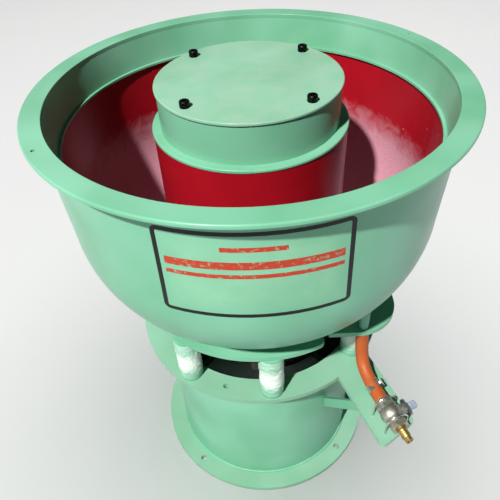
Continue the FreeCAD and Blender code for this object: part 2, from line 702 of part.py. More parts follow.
LOWER_TOP = 320.0
LOWER_BOTTOM = 302.0
TRIM_TOP = 300.0
TRIM_BOTTOM = 284.0
LOWER_WEIGHT_R = 135.0
UPPER_BOTTOM = 655.0
UPPER_TOP = 680.0
UPPER_WEIGHT_R = 88.0
SHAFT_BOTTOM = 272.0
SHAFT_TOP = 690.0


def weight(r, hub_r, z0, z1, az, half, bore):
    """A fan-shaped weight with its clamping hub."""
    fan = sector(hub_r - 4, r, z0, z1, az - half, az + half)
    fan = vertical_fillet(fan, 6, lambda p: math.hypot(p.x, p.y) > r - 1)
    return fan.fuse(cylinder(hub_r, z0, z1)).cut(cylinder(bore, z0 - 1, z1 + 1)).removeSplitter()


def make_rotor():
    keep("motor_shaft", revolve([
        (0, SHAFT_BOTTOM), (SHAFT_R - 1, SHAFT_BOTTOM), (SHAFT_R, SHAFT_BOTTOM + 1),
        (SHAFT_R, LOWER_BEARING_Z + BEARING_W), (17, LOWER_BEARING_Z + BEARING_W), (17, UPPER_BEARING_Z),
        (SHAFT_R, UPPER_BEARING_Z), (SHAFT_R, SHAFT_TOP - 1), (SHAFT_R - 1, SHAFT_TOP), (0, SHAFT_TOP),
    ]))
    keep("rotor_core", tube(17, ROTOR_R, STACK[0], STACK[1]))
    upper = weight(UPPER_WEIGHT_R, 26, UPPER_BOTTOM, UPPER_TOP, 190, 60, SHAFT_R)
    keep("upper_weight", upper)
    lower = weight(LOWER_WEIGHT_R, 30, LOWER_BOTTOM, LOWER_TOP, 46, 54, SHAFT_R)
    keep("lower_weight", lower)
    trim = weight(LOWER_WEIGHT_R, 30, TRIM_BOTTOM, TRIM_TOP, 46, 54, SHAFT_R + 0.05)
    keep("trim_weight", trim)
    collars = [
        tube(SHAFT_R, 20, LOWER_TOP, LOWER_TOP + 8),
        tube(SHAFT_R, 20, TRIM_BOTTOM - 8, TRIM_BOTTOM - 0.3),
        tube(SHAFT_R, 20, UPPER_BOTTOM - 8, UPPER_BOTTOM),
        tube(SHAFT_R, 20, UPPER_TOP, UPPER_TOP + 6),
    ]
    keep("shaft_collars", collars)


make_base()
make_springs()
make_arm()
make_hose()
make_valve()
make_clips()
make_shell()
make_lining()
make_shoes()
make_column()
make_motor()
make_rotor()
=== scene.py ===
# %% [markdown]
# # A vibratory bowl tumbler, from engineering model to finished look
# The machine shakes stones in a ring-shaped trough lined with red polyurethane. Its sheet steel is sprayed
# mint green. The engineering model already fixes every size, so this lesson adds what it lacks: rolled
# edges, weld beads, crinkled spring sleeves, a real hose, and finishes that show how each surface was made.
# Everything is in metres, in the engineering model's own frame: +Z up, and -Y towards the front.

# %% Load the fixed frame
import json
import math

import bmesh
import bpy
from mathutils import Matrix, Vector


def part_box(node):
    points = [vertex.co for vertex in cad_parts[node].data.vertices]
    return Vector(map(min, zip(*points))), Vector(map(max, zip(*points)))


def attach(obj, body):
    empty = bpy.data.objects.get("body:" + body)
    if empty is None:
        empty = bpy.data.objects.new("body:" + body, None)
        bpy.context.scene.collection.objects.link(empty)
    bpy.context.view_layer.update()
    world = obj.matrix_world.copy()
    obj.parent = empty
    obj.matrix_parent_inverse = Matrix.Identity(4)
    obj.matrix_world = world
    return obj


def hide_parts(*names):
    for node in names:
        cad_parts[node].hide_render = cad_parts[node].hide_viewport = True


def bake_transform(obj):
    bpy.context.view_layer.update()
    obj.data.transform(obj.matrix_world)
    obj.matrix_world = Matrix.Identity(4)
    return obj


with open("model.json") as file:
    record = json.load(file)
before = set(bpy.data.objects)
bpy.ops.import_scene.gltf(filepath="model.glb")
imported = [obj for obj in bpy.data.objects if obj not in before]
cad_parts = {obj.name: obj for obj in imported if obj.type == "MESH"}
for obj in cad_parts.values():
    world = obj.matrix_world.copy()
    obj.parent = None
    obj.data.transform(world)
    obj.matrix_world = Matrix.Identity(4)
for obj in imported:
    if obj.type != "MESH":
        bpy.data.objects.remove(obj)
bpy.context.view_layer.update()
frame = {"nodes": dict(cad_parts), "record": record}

nodes = frame["nodes"]

# %% [markdown]
# ## The camera comes first
# A camera is a position, a direction and a lens. The direction is given by three turns, as on a tripod
# head: pan to the side, pitch down towards the trough, and a small roll. Building the matrix from them
# keeps it readable.

# %% Camera
def tripod_matrix(place, pan, pitch, roll):
    """The camera's matrix from a place and three turns in degrees."""
    pan, pitch, roll = (math.radians(turn) for turn in (pan, pitch, roll))
    forward = Vector((math.sin(pan) * math.cos(pitch), math.cos(pan) * math.cos(pitch), -math.sin(pitch)))
    right = forward.cross(Vector((0, 0, 1))).normalized()
    up = right.cross(forward)
    side = right * math.cos(roll) + up * math.sin(roll)
    top = up * math.cos(roll) - right * math.sin(roll)
    turn = Matrix((side, top, -forward)).transposed()
    return Matrix.Translation(place) @ turn.to_4x4()


camera_data = bpy.data.cameras.new("studio_camera")
camera_data.sensor_width = 36.0
camera_data.lens = 38.7
camera_data.clip_start = 0.02
camera = bpy.data.objects.new("studio_camera", camera_data)
bpy.context.scene.collection.objects.link(camera)
camera.matrix_world = tripod_matrix(Vector((0.0, -0.640, 0.9915)), -1.01, 41.82, -3.62)
bpy.context.scene.camera = camera
print("camera", [round(v, 3) for v in camera.location], "lens", camera_data.lens, "mm")

# %% [markdown]
# ## Helpers for finishes
# A finish is a small network of nodes. One function adds a node with its settings and links, so every
# network below reads as a list. Colours are written as the hex values a paint shop would give, and turned
# to linear light once. Pattern sizes are written in millimetres, because a noise pattern's scale is just
# one over its grain size.

# %% Helpers for finishes
def linear(hex_colour):
    """An sRGB hex colour as linear red, green, blue and alpha."""
    channels = []
    for start in (1, 3, 5):
        level = int(hex_colour[start:start + 2], 16) / 255
        channels.append(level / 12.92 if level <= 0.04045 else ((level + 0.055) / 1.055) ** 2.4)
    return (*channels, 1.0)


def grain(millimetres):
    """The texture scale that gives features of this size."""
    return 1000.0 / millimetres


def add_node(tree, kind, inputs=None, **settings):
    """One node: settings are its own choices, and inputs are values or other nodes' sockets."""
    made = tree.nodes.new(kind)
    for name, value in settings.items():
        setattr(made, name, value)
    for name, value in (inputs or {}).items():
        if isinstance(value, bpy.types.NodeSocket):
            tree.links.new(value, made.inputs[name])
        else:
            made.inputs[name].default_value = value
    return made


def start_finish(name, **constants):
    """A new material: its tree, its shader with constants on its own sockets, and the place of each point."""
    material = bpy.data.materials.new(name)
    material.use_nodes = True
    tree = material.node_tree
    tree.nodes.clear()
    inputs = {label.replace("_", " "): value for label, value in constants.items()}
    shader = add_node(tree, "ShaderNodeBsdfPrincipled", inputs)
    add_node(tree, "ShaderNodeOutputMaterial", {"Surface": shader.outputs["BSDF"]})
    place = add_node(tree, "ShaderNodeTexCoord").outputs["Object"]
    return material, tree, shader, place


# sockets of the Mix node when it mixes colours
FACTOR, FIRST, SECOND, MIXED = 0, 6, 7, 2


def axis_distance(tree, place):
    """How far each point is from the machine's upright axis."""
    flat = add_node(tree, "ShaderNodeVectorMath", {0: place, 1: (1, 1, 0)}, operation="MULTIPLY")
    reach = add_node(tree, "ShaderNodeVectorMath", {0: flat.outputs["Vector"]}, operation="LENGTH")
    return reach.outputs["Value"]


def tone_and_relief(tree, shader, tone, colours, relief, strength, depth):
    """Two colours shared out by one pattern, and a relief raised by another."""
    first, second = colours
    mixed = add_node(tree, "ShaderNodeMix", {
        FACTOR: tone, FIRST: linear(first), SECOND: linear(second)}, data_type="RGBA")
    tree.links.new(mixed.outputs[MIXED], shader.inputs["Base Color"])
    raised = add_node(tree, "ShaderNodeBump", {"Height": relief, "Strength": strength, "Distance": depth})
    tree.links.new(raised.outputs["Normal"], shader.inputs["Normal"])


print("helpers ready; a 3 mm grain has scale", round(grain(3), 1))

# %% [markdown]
# ## Studio
# The main light is one distant lamp, high on the front left, as on a sunny afternoon. It is far away so
# that it falls evenly, and small so that the column throws a clear shadow into the trough. The floor has
# its own broad lamp: with light linking, the main lamp lights the machine only and the broad one lights the
# floor only, so the floor stays pale and its shadow soft. The room is pale at the walls and dim at the
# ceiling, so the trough gets deep shade.

# %% Floor, room and lights
def floor_sheet(size):
    mesh = bpy.data.meshes.new("floor")
    corners = [(-size, -size, 0), (size, -size, 0), (size, size, 0), (-size, size, 0)]
    mesh.from_pydata([(x, y, z - 0.0005) for x, y, z in corners], [], [(0, 1, 2, 3)])
    return bpy.data.objects.new("floor", mesh)


def soft_box(name, azimuth, elevation, distance, size, power, colour):
    """An area light that looks at the machine. Azimuth is from the front, growing to the right."""
    light = bpy.data.lights.new(name, "AREA")
    light.shape = "DISK"
    light.size = size
    light.energy = power
    light.color = linear(colour)[:3]
    a, e = math.radians(azimuth), math.radians(elevation)
    away = Vector((math.sin(a) * math.cos(e), -math.cos(a) * math.cos(e), math.sin(e)))
    lamp = bpy.data.objects.new(name, light)
    lamp.location = Vector((0, 0, 0.45)) + away * distance
    lamp.rotation_euler = away.to_track_quat("Z", "Y").to_euler()
    bpy.context.scene.collection.objects.link(lamp)
    return lamp


floor = floor_sheet(5.0)
bpy.context.scene.collection.objects.link(floor)
paper, tree, shader, place = start_finish("pale_studio_paper", Roughness=0.9)
fibre = add_node(tree, "ShaderNodeTexNoise", {"Vector": place, "Scale": grain(400), "Detail": 2.0})
tone = add_node(tree, "ShaderNodeMix", {
    FACTOR: fibre.outputs["Fac"], FIRST: linear("#F1F2F1"), SECOND: linear("#F7F7F5")}, data_type="RGBA")
tree.links.new(tone.outputs[MIXED], shader.inputs["Base Color"])
floor.data.materials.append(paper)

room = bpy.data.worlds.new("pale_room")
room.use_nodes = True
background = room.node_tree.nodes["Background"]
background.inputs["Color"].default_value = linear("#F6F9FC")
way_out = add_node(room.node_tree, "ShaderNodeTexCoord")
height = add_node(room.node_tree, "ShaderNodeSeparateXYZ", {"Vector": way_out.outputs["Generated"]})
ceiling = add_node(room.node_tree, "ShaderNodeMapRange", {
    "Value": height.outputs["Z"], "From Min": 0.02, "From Max": 0.34, "To Min": 0.70, "To Max": 0.03})
room.node_tree.links.new(ceiling.outputs["Result"], background.inputs["Strength"])
bpy.context.scene.world = room
bpy.context.scene.view_settings.view_transform = "Standard"
key = soft_box("key_lamp", -31, 52, 9.0, 0.36, 1700, "#FFFBF4")
back = soft_box("back_lamp", -150, 38, 4.0, 1.6, 10, "#F4FAFF")
wash = soft_box("floor_wash", 0, 90, 7.0, 10.0, 740, "#FFFFFF")

floor_only = bpy.data.collections.new("lit_by_floor_wash")
floor_only.objects.link(floor)
wash.light_linking.receiver_collection = floor_only
not_floor = bpy.data.collections.new("not_lit_by_key")
not_floor.objects.link(floor)
not_floor.collection_objects[0].light_linking.link_state = "EXCLUDE"
key.light_linking.receiver_collection = not_floor
back.light_linking.receiver_collection = not_floor
print("lights:", key.name, back.name, wash.name)

# %% [markdown]
# ## Mint enamel
# The steel is sprayed with two-part gloss enamel. What the eye sees is an even, slightly clouded green, a
# faint orange-peel ripple about 3 mm across that breaks up highlights, a few specks of dust caught in the
# wet film, and greyish rub marks. One image could show this on one piece only, so the pattern is made by
# noise in object space: it runs across neighbouring plates as one spray pass does.

# %% Mint enamel
MINT = "#70AC92"
MINT_DEEP = "#609E80"
MINT_RUBBED = "#96BFA9"


def spray_enamel(tree, shader, place):
    """Colour of the sprayed film; also sets the shader's ripple and gloss."""
    cloud = add_node(tree, "ShaderNodeTexNoise", {
        "Vector": place, "Scale": grain(120), "Detail": 1.5, "Roughness": 0.5})
    even = add_node(tree, "ShaderNodeMapRange", {
        "Value": cloud.outputs["Fac"], "From Min": 0.3, "From Max": 0.7}, interpolation_type="SMOOTHSTEP")
    film = add_node(tree, "ShaderNodeMix", {
        FACTOR: even.outputs["Result"], FIRST: linear(MINT_DEEP), SECOND: linear(MINT)}, data_type="RGBA")
    rub = add_node(tree, "ShaderNodeTexNoise", {
        "Vector": place, "Scale": grain(55), "Detail": 1.5, "Roughness": 0.5})
    rubbed = add_node(tree, "ShaderNodeMapRange", {
        "Value": rub.outputs["Fac"], "From Min": 0.45, "From Max": 0.85, "To Max": 0.14},
        interpolation_type="SMOOTHSTEP")
    worn = add_node(tree, "ShaderNodeMix", {
        FACTOR: rubbed.outputs["Result"], FIRST: film.outputs[MIXED], SECOND: linear(MINT_RUBBED)},
        data_type="RGBA")
    dust = add_node(tree, "ShaderNodeTexVoronoi", {
        "Vector": place, "Scale": grain(34), "Randomness": 1.0}, feature="F1")
    speck = add_node(tree, "ShaderNodeMapRange", {
        "Value": dust.outputs["Distance"], "From Min": 0.015, "From Max": 0.03, "To Min": 0.4, "To Max": 0.0})
    colour = add_node(tree, "ShaderNodeMix", {
        FACTOR: speck.outputs["Result"], FIRST: worn.outputs[MIXED], SECOND: linear("#4E8A6B")},
        data_type="RGBA")
    peel = add_node(tree, "ShaderNodeTexNoise", {
        "Vector": place, "Scale": grain(4.5), "Detail": 0.0})
    dent = add_node(tree, "ShaderNodeTexNoise", {
        "Vector": place, "Scale": grain(90), "Detail": 1.0})
    sheet = add_node(tree, "ShaderNodeBump", {
        "Height": dent.outputs["Fac"], "Strength": 0.25, "Distance": 0.004})
    ripple = add_node(tree, "ShaderNodeBump", {
        "Height": peel.outputs["Fac"], "Strength": 0.03, "Distance": 0.0004,
        "Normal": sheet.outputs["Normal"]})
    tree.links.new(ripple.outputs["Normal"], shader.inputs["Normal"])
    gloss = add_node(tree, "ShaderNodeMapRange", {
        "Value": rub.outputs["Fac"], "From Min": 0.3, "From Max": 0.8, "To Min": 0.28, "To Max": 0.36})
    tree.links.new(gloss.outputs["Result"], shader.inputs["Roughness"])
    return colour.outputs[MIXED]


ENAMEL_GLOSS = {"IOR": 1.5, "Specular_IOR_Level": 0.2, "Coat_Weight": 0.05, "Coat_Roughness": 0.15}
mint_enamel, tree, shader, place = start_finish("mint_gloss_enamel", **ENAMEL_GLOSS)
tree.links.new(spray_enamel(tree, shader, place), shader.inputs["Base Color"])
print("enamel nodes:", len(tree.nodes))

# %% [markdown]
# ## Dust, grime and painted shade
# Three more finishes start from the same spray. Flat upper faces hold pale settled dust, and the low plates
# hold greyer grime from the floor. The pedestal tube is enamelled outside, and everything nearer to the axis
# than its bore is painted near-black: painted shade, which keeps the gap under the bowl dark.

# %% Dusted, grimy and shade-painted enamel
PEDESTAL_BORE = 0.1625
DUST_ON = {"mint_enamel_with_settled_dust": "#A9B5A9", "mint_enamel_with_floor_grime": "#8A968B"}
dusted_enamel = {}
for name, dust_colour in DUST_ON.items():
    dusted_enamel[name], tree, shader, place = start_finish(name, **ENAMEL_GLOSS)
    colour = spray_enamel(tree, shader, place)
    settled = add_node(tree, "ShaderNodeTexNoise", {
        "Vector": place, "Scale": grain(26), "Detail": 2.0, "Roughness": 0.6})
    dust_share = add_node(tree, "ShaderNodeMapRange", {
        "Value": settled.outputs["Fac"], "From Min": 0.3, "From Max": 0.7, "To Min": 0.16, "To Max": 0.36})
    dusted = add_node(tree, "ShaderNodeMix", {
        FACTOR: dust_share.outputs["Result"], FIRST: colour, SECOND: linear(dust_colour)}, data_type="RGBA")
    tree.links.new(dusted.outputs[MIXED], shader.inputs["Base Color"])

shade_painted_inside, tree, shader, place = start_finish("mint_enamel_with_painted_shade_inside", **ENAMEL_GLOSS)
colour = spray_enamel(tree, shader, place)
# painted shade: points nearer the axis than the pedestal's bore get a near-black colour, standing for the
# deep shade in the gap under the bowl
bore = add_node(tree, "ShaderNodeMath", {
    0: axis_distance(tree, place), 1: PEDESTAL_BORE}, operation="LESS_THAN")
inside_shaded = add_node(tree, "ShaderNodeMix", {
    FACTOR: bore.outputs["Value"], FIRST: colour, SECOND: linear("#0B0E0D")}, data_type="RGBA")
tree.links.new(inside_shaded.outputs[MIXED], shader.inputs["Base Color"])
print("dusted finishes:", len(dusted_enamel))

# %% [markdown]
# ## The painted panel on the bowl
# A black border line with round corners is screen printed on the front of the bowl, with plain red stripes
# inside. Print lies on the curved wall, so the pattern is measured along the wall: azimuth times radius
# across, and height up. The border is the set of points whose distance from a rounded rectangle is less
# than half the line's width. Doing it with the distance formula keeps the line sharp at any zoom and needs
# no image.

# %% Places and distances on the panel
PANEL_MIDDLE_Z = 0.6105
PANEL_HALF_HIGH = 0.0635
PANEL_HALF_WIDE = 0.1045
PANEL_CORNER = 0.008
LINE_WIDE = 0.0056
PANEL_TURN = math.radians(0.65)
FRONT_OF = -0.15
WALL_OUTSIDE = 0.2515


def panel_place(tree, place):
    """Across and up on the panel, in metres from its middle. The panel is a little wider at its foot."""
    split = add_node(tree, "ShaderNodeSeparateXYZ", {"Vector": place})
    front = add_node(tree, "ShaderNodeMath", {0: split.outputs["Y"], 1: -1.0}, operation="MULTIPLY")
    azimuth = add_node(tree, "ShaderNodeMath", {
        0: split.outputs["X"], 1: front.outputs["Value"]}, operation="ARCTAN2")
    centred = add_node(tree, "ShaderNodeMath", {
        0: azimuth.outputs["Value"], 1: PANEL_TURN}, operation="ADD")
    spread = add_node(tree, "ShaderNodeMapRange", {
        "Value": split.outputs["Z"], "From Min": 0.547, "From Max": 0.674,
        "To Min": 0.1045 / math.radians(24.05), "To Max": 0.1045 / math.radians(22.45)})
    across = add_node(tree, "ShaderNodeMath", {
        0: centred.outputs["Value"], 1: spread.outputs["Result"]}, operation="MULTIPLY")
    up = add_node(tree, "ShaderNodeMath", {
        0: split.outputs["Z"], 1: PANEL_MIDDLE_Z}, operation="SUBTRACT")
    return across.outputs["Value"], up.outputs["Value"]


def box_distance(tree, across, up, half_wide, half_high, corner):
    """Distance from a rounded rectangle's edge, negative inside."""
    over = []
    for value, half in ((across, half_wide), (up, half_high)):
        size = add_node(tree, "ShaderNodeMath", {0: value}, operation="ABSOLUTE")
        past = add_node(tree, "ShaderNodeMath", {
            0: size.outputs["Value"], 1: half - corner}, operation="SUBTRACT")
        over.append(past.outputs["Value"])
    outside = []
    for value in over:
        positive = add_node(tree, "ShaderNodeMath", {0: value, 1: 0.0}, operation="MAXIMUM")
        outside.append(positive.outputs["Value"])
    corner_way = add_node(tree, "ShaderNodeCombineXYZ", {"X": outside[0], "Y": outside[1]})
    far = add_node(tree, "ShaderNodeVectorMath", {0: corner_way.outputs["Vector"]}, operation="LENGTH")
    larger = add_node(tree, "ShaderNodeMath", {0: over[0], 1: over[1]}, operation="MAXIMUM")
    inside = add_node(tree, "ShaderNodeMath", {0: larger.outputs["Value"], 1: 0.0}, operation="MINIMUM")
    total = add_node(tree, "ShaderNodeMath", {
        0: far.outputs["Value"], 1: inside.outputs["Value"]}, operation="ADD")
    return add_node(tree, "ShaderNodeMath", {
        0: total.outputs["Value"], 1: corner}, operation="SUBTRACT").outputs["Value"]


print("panel", round(2000 * PANEL_HALF_WIDE), "by", round(2000 * PANEL_HALF_HIGH), "mm")

# %% Where the print lies, and a worn haze inside it
bowl_enamel, tree, shader, place = start_finish("bowl_enamel_with_panel", **ENAMEL_GLOSS)
colour = spray_enamel(tree, shader, place)
across, up = panel_place(tree, place)
edge = box_distance(tree, across, up, PANEL_HALF_WIDE, PANEL_HALF_HIGH, PANEL_CORNER)
front_half = add_node(tree, "ShaderNodeSeparateXYZ", {"Vector": place})
in_front = add_node(tree, "ShaderNodeMath", {0: front_half.outputs["Y"], 1: FRONT_OF}, operation="LESS_THAN")
on_outside = add_node(tree, "ShaderNodeMath", {
    0: axis_distance(tree, place), 1: WALL_OUTSIDE}, operation="GREATER_THAN")
print_here = add_node(tree, "ShaderNodeMath", {
    0: in_front.outputs["Value"], 1: on_outside.outputs["Value"]}, operation="MULTIPLY")

faded = add_node(tree, "ShaderNodeTexNoise", {
    "Vector": place, "Scale": grain(45), "Detail": 5.0, "Roughness": 0.65})
inside_panel = add_node(tree, "ShaderNodeMapRange", {
    "Value": edge, "From Min": -0.03, "From Max": 0.0, "To Min": 1.0, "To Max": 0.0})
haze = add_node(tree, "ShaderNodeMath", {
    0: inside_panel.outputs["Result"], 1: faded.outputs["Fac"]}, operation="MULTIPLY")
haze_here = add_node(tree, "ShaderNodeMath", {
    0: haze.outputs["Value"], 1: print_here.outputs["Value"]}, operation="MULTIPLY")
hazed = add_node(tree, "ShaderNodeMix", {
    FACTOR: haze_here.outputs["Value"], FIRST: colour, SECOND: linear("#84B999")}, data_type="RGBA")
colour = hazed.outputs[MIXED]
print("haze nodes:", len(tree.nodes))

# %% Red stripes and black border
print_wear = add_node(tree, "ShaderNodeTexNoise", {
    "Vector": place, "Scale": grain(5), "Detail": 5.0, "Roughness": 0.75})
ink_left = add_node(tree, "ShaderNodeMapRange", {
    "Value": print_wear.outputs["Fac"], "From Min": 0.36, "From Max": 0.46, "To Min": 0.35, "To Max": 1.0})
STRIPES = ((0.0400, 0.0032, 0.034), (0.0175, 0.0055, 0.0940), (0.0020, 0.0030, 0.0940))
for height, half_high, half_wide in STRIPES:
    lifted = add_node(tree, "ShaderNodeMath", {0: up, 1: height}, operation="SUBTRACT")
    stripe_edge = box_distance(tree, across, lifted.outputs["Value"], half_wide, half_high, 0.0008)
    stripe = add_node(tree, "ShaderNodeMath", {0: stripe_edge, 1: 0.0}, operation="LESS_THAN")
    worn_stripe = add_node(tree, "ShaderNodeMath", {
        0: stripe.outputs["Value"], 1: ink_left.outputs["Result"]}, operation="MULTIPLY")
    here = add_node(tree, "ShaderNodeMath", {
        0: worn_stripe.outputs["Value"], 1: print_here.outputs["Value"]}, operation="MULTIPLY")
    inked = add_node(tree, "ShaderNodeMix", {
        FACTOR: here.outputs["Value"], FIRST: colour, SECOND: linear("#A4341E")}, data_type="RGBA")
    colour = inked.outputs[MIXED]

border = add_node(tree, "ShaderNodeMath", {
    0: edge, 1: -LINE_WIDE / 2, 2: LINE_WIDE / 2}, operation="COMPARE")
border_here = add_node(tree, "ShaderNodeMath", {
    0: border.outputs["Value"], 1: print_here.outputs["Value"]}, operation="MULTIPLY")
bordered = add_node(tree, "ShaderNodeMix", {
    FACTOR: border_here.outputs["Value"], FIRST: colour, SECOND: linear("#030806")}, data_type="RGBA")
tree.links.new(bordered.outputs[MIXED], shader.inputs["Base Color"])
print("bowl enamel nodes:", len(tree.nodes))

# %% [markdown]
# ## Red polyurethane lining
# The lining is poured and spun inside the steel bowl, so it is thick, glossy and slightly wavy. Stones and
# grit leave a whitish film where the load turns, at the bottom of the trough, and a few small pale nicks.
# The film is a mask made from height, kept off the column and ragged with noise, so it follows the trough
# all the way round.

# %% Polyurethane
FILM_FULL_Z = 0.535
FILM_TOP_Z = 0.578
COLUMN_CLEAN_TO = 0.140
FILM_FULL_FROM = 0.170
red_lining, tree, shader, place = start_finish(
    "red_cast_polyurethane", IOR=1.5, Specular_IOR_Level=0.2, Coat_Weight=0.03, Coat_Roughness=0.2)
split = add_node(tree, "ShaderNodeSeparateXYZ", {"Vector": place})
flow = add_node(tree, "ShaderNodeTexNoise", {
    "Vector": place, "Scale": grain(70), "Detail": 3.0, "Roughness": 0.5})
body_red = add_node(tree, "ShaderNodeMix", {
    FACTOR: flow.outputs["Fac"], FIRST: linear("#850A17"), SECOND: linear("#9C1220")}, data_type="RGBA")
ragged = add_node(tree, "ShaderNodeTexNoise", {
    "Vector": place, "Scale": grain(22), "Detail": 8.0, "Roughness": 0.7, "Distortion": 0.8})
shift = add_node(tree, "ShaderNodeMath", {
    0: ragged.outputs["Fac"], 1: 0.07, 2: -0.035}, operation="MULTIPLY_ADD")
level = add_node(tree, "ShaderNodeMath", {
    0: split.outputs["Z"], 1: shift.outputs["Value"]}, operation="ADD")
film_depth = add_node(tree, "ShaderNodeMapRange", {
    "Value": level.outputs["Value"], "From Min": FILM_FULL_Z, "From Max": FILM_TOP_Z,
    "To Min": 0.62, "To Max": 0.0})
powder = add_node(tree, "ShaderNodeTexNoise", {
    "Vector": place, "Scale": grain(3), "Detail": 4.0, "Roughness": 0.8})
powder_share = add_node(tree, "ShaderNodeMapRange", {
    "Value": powder.outputs["Fac"], "From Min": 0.3, "From Max": 0.7, "To Min": 0.6, "To Max": 1.0})
off_column = add_node(tree, "ShaderNodeMapRange", {
    "Value": axis_distance(tree, place), "From Min": COLUMN_CLEAN_TO, "From Max": FILM_FULL_FROM})
film_share = add_node(tree, "ShaderNodeMath", {
    0: film_depth.outputs["Result"], 1: off_column.outputs["Result"]}, operation="MULTIPLY")
film = add_node(tree, "ShaderNodeMath", {
    0: film_share.outputs["Value"], 1: powder_share.outputs["Result"]}, operation="MULTIPLY")
dusty = add_node(tree, "ShaderNodeMix", {
    FACTOR: film.outputs["Value"], FIRST: body_red.outputs[MIXED], SECOND: linear("#CBACC0")},
    data_type="RGBA")
nick_cells = add_node(tree, "ShaderNodeTexVoronoi", {
    "Vector": place, "Scale": grain(26), "Randomness": 1.0}, feature="F1")
nick = add_node(tree, "ShaderNodeMapRange", {
    "Value": nick_cells.outputs["Distance"], "From Min": 0.035, "From Max": 0.06,
    "To Min": 0.7, "To Max": 0.0})
nicked = add_node(tree, "ShaderNodeMix", {
    FACTOR: nick.outputs["Result"], FIRST: dusty.outputs[MIXED], SECOND: linear("#D98A8E")}, data_type="RGBA")
tree.links.new(nicked.outputs[MIXED], shader.inputs["Base Color"])
dullness = add_node(tree, "ShaderNodeMapRange", {
    "Value": film.outputs["Value"], "From Min": 0.0, "From Max": 0.5, "To Min": 0.28, "To Max": 0.75})
tree.links.new(dullness.outputs["Result"], shader.inputs["Roughness"])
wave = add_node(tree, "ShaderNodeBump", {"Height": flow.outputs["Fac"], "Strength": 0.4, "Distance": 0.004})
scuff = add_node(tree, "ShaderNodeBump", {
    "Height": ragged.outputs["Fac"], "Strength": 0.12, "Distance": 0.001, "Normal": wave.outputs["Normal"]})
tree.links.new(scuff.outputs["Normal"], shader.inputs["Normal"])
print("lining nodes:", len(tree.nodes))

# %% [markdown]
# ## Small fittings' finishes
# Each metal is one network: a base colour near the metal's own reflection colour, full metallic, and a
# roughness that noise varies where hands and water have dulled it. A table of plain numbers describes the
# metals, and one cell turns each row into its own network, because they differ in values but not in how
# they were made.

# %% Metals
METALS = {
    # name: light colour, dark colour, roughness low and high, grain in mm, bump height in mm
    "satin_nickel_plate": ("#C9C8BE", "#8B897D", 0.40, 0.60, 2.5, 0.10),
    "drawn_stainless": ("#E1E1DD", "#A9A9A2", 0.18, 0.38, 1.5, 0.02),
    "turned_brass": ("#C6B076", "#8E7A45", 0.38, 0.60, 2.0, 0.06),
    "black_oxide_steel": ("#2A2C2C", "#0C0D0D", 0.28, 0.50, 1.2, 0.03),
    "cast_aluminium": ("#B9C0CC", "#7E8798", 0.35, 0.55, 1.2, 0.06),
    "drawn_spring_steel": ("#8B8E92", "#55585C", 0.30, 0.50, 2.0, 0.02),
    "machined_cast_iron": ("#A79E9B", "#6E6664", 0.45, 0.70, 1.6, 0.10),
    "ground_bearing_steel": ("#D9DADC", "#AEB1B5", 0.12, 0.25, 3.0, 0.01),
    "turned_shaft_steel": ("#B5B5B3", "#80807D", 0.25, 0.42, 1.0, 0.02),
    "bright_zinc_plate": ("#C9CCC6", "#93968F", 0.25, 0.45, 2.2, 0.03),
}


def metal_finish(name, light, dark, smooth, dull, grain_size, bump_height):
    material, tree, shader, place = start_finish(name, Metallic=1.0)
    tarnish = add_node(tree, "ShaderNodeTexNoise", {
        "Vector": place, "Scale": grain(grain_size * 4), "Detail": 6.0, "Roughness": 0.65})
    patchy = add_node(tree, "ShaderNodeMapRange", {
        "Value": tarnish.outputs["Fac"], "From Min": 0.35, "From Max": 0.65})
    colour = add_node(tree, "ShaderNodeMix", {
        FACTOR: patchy.outputs["Result"], FIRST: linear(light), SECOND: linear(dark)}, data_type="RGBA")
    tree.links.new(colour.outputs[MIXED], shader.inputs["Base Color"])
    dullness = add_node(tree, "ShaderNodeMapRange", {
        "Value": tarnish.outputs["Fac"], "From Min": 0.3, "From Max": 0.7, "To Min": smooth, "To Max": dull})
    tree.links.new(dullness.outputs["Result"], shader.inputs["Roughness"])
    pits = add_node(tree, "ShaderNodeTexNoise", {"Vector": place, "Scale": grain(grain_size), "Detail": 3.0})
    skin = add_node(tree, "ShaderNodeBump", {
        "Height": pits.outputs["Fac"], "Strength": 0.5, "Distance": bump_height * 0.001})
    tree.links.new(skin.outputs["Normal"], shader.inputs["Normal"])
    return material


metal = {}
for name, row in METALS.items():
    metal[name] = metal_finish(name, *row)
print("metals:", ", ".join(metal))

# %% [markdown]
# ## Motor finishes
# Inside the column sits the motor. Its core is a stack of thin stamped sheets, whose edges show as fine
# rings: a real sheet is 0.5 mm thick, drawn here as 1.5 mm so that it shows. The windings are lacquered
# copper wire, and the frame is plain grey machine enamel. Waves along Z draw the sheets, and bands round
# the bore draw the wire.

# %% Motor finishes
laminations, tree, shader, place = start_finish(
    "stacked_lamination_steel", Metallic=1.0, Roughness=0.45)
sheets = add_node(tree, "ShaderNodeTexWave", {
    "Vector": place, "Scale": grain(1.5) / 20, "Distortion": 0.0}, wave_type="BANDS", bands_direction="Z")
tone_and_relief(tree, shader, sheets.outputs["Fac"], ("#4A4C4F", "#8A8C8E"),
                sheets.outputs["Fac"], 0.6, 0.0003)

copper_wire, tree, shader, place = start_finish(
    "lacquered_copper_wire", Metallic=0.8, Roughness=0.35, Coat_Weight=0.6, Coat_Roughness=0.15)
strands = add_node(tree, "ShaderNodeTexWave", {
    "Vector": place, "Scale": grain(1.6) / 20, "Distortion": 6.0, "Detail": 2.0},
    wave_type="RINGS", rings_direction="Z")
tone_and_relief(tree, shader, strands.outputs["Fac"], ("#6E3418", "#C8743C"),
                strands.outputs["Fac"], 0.8, 0.0006)

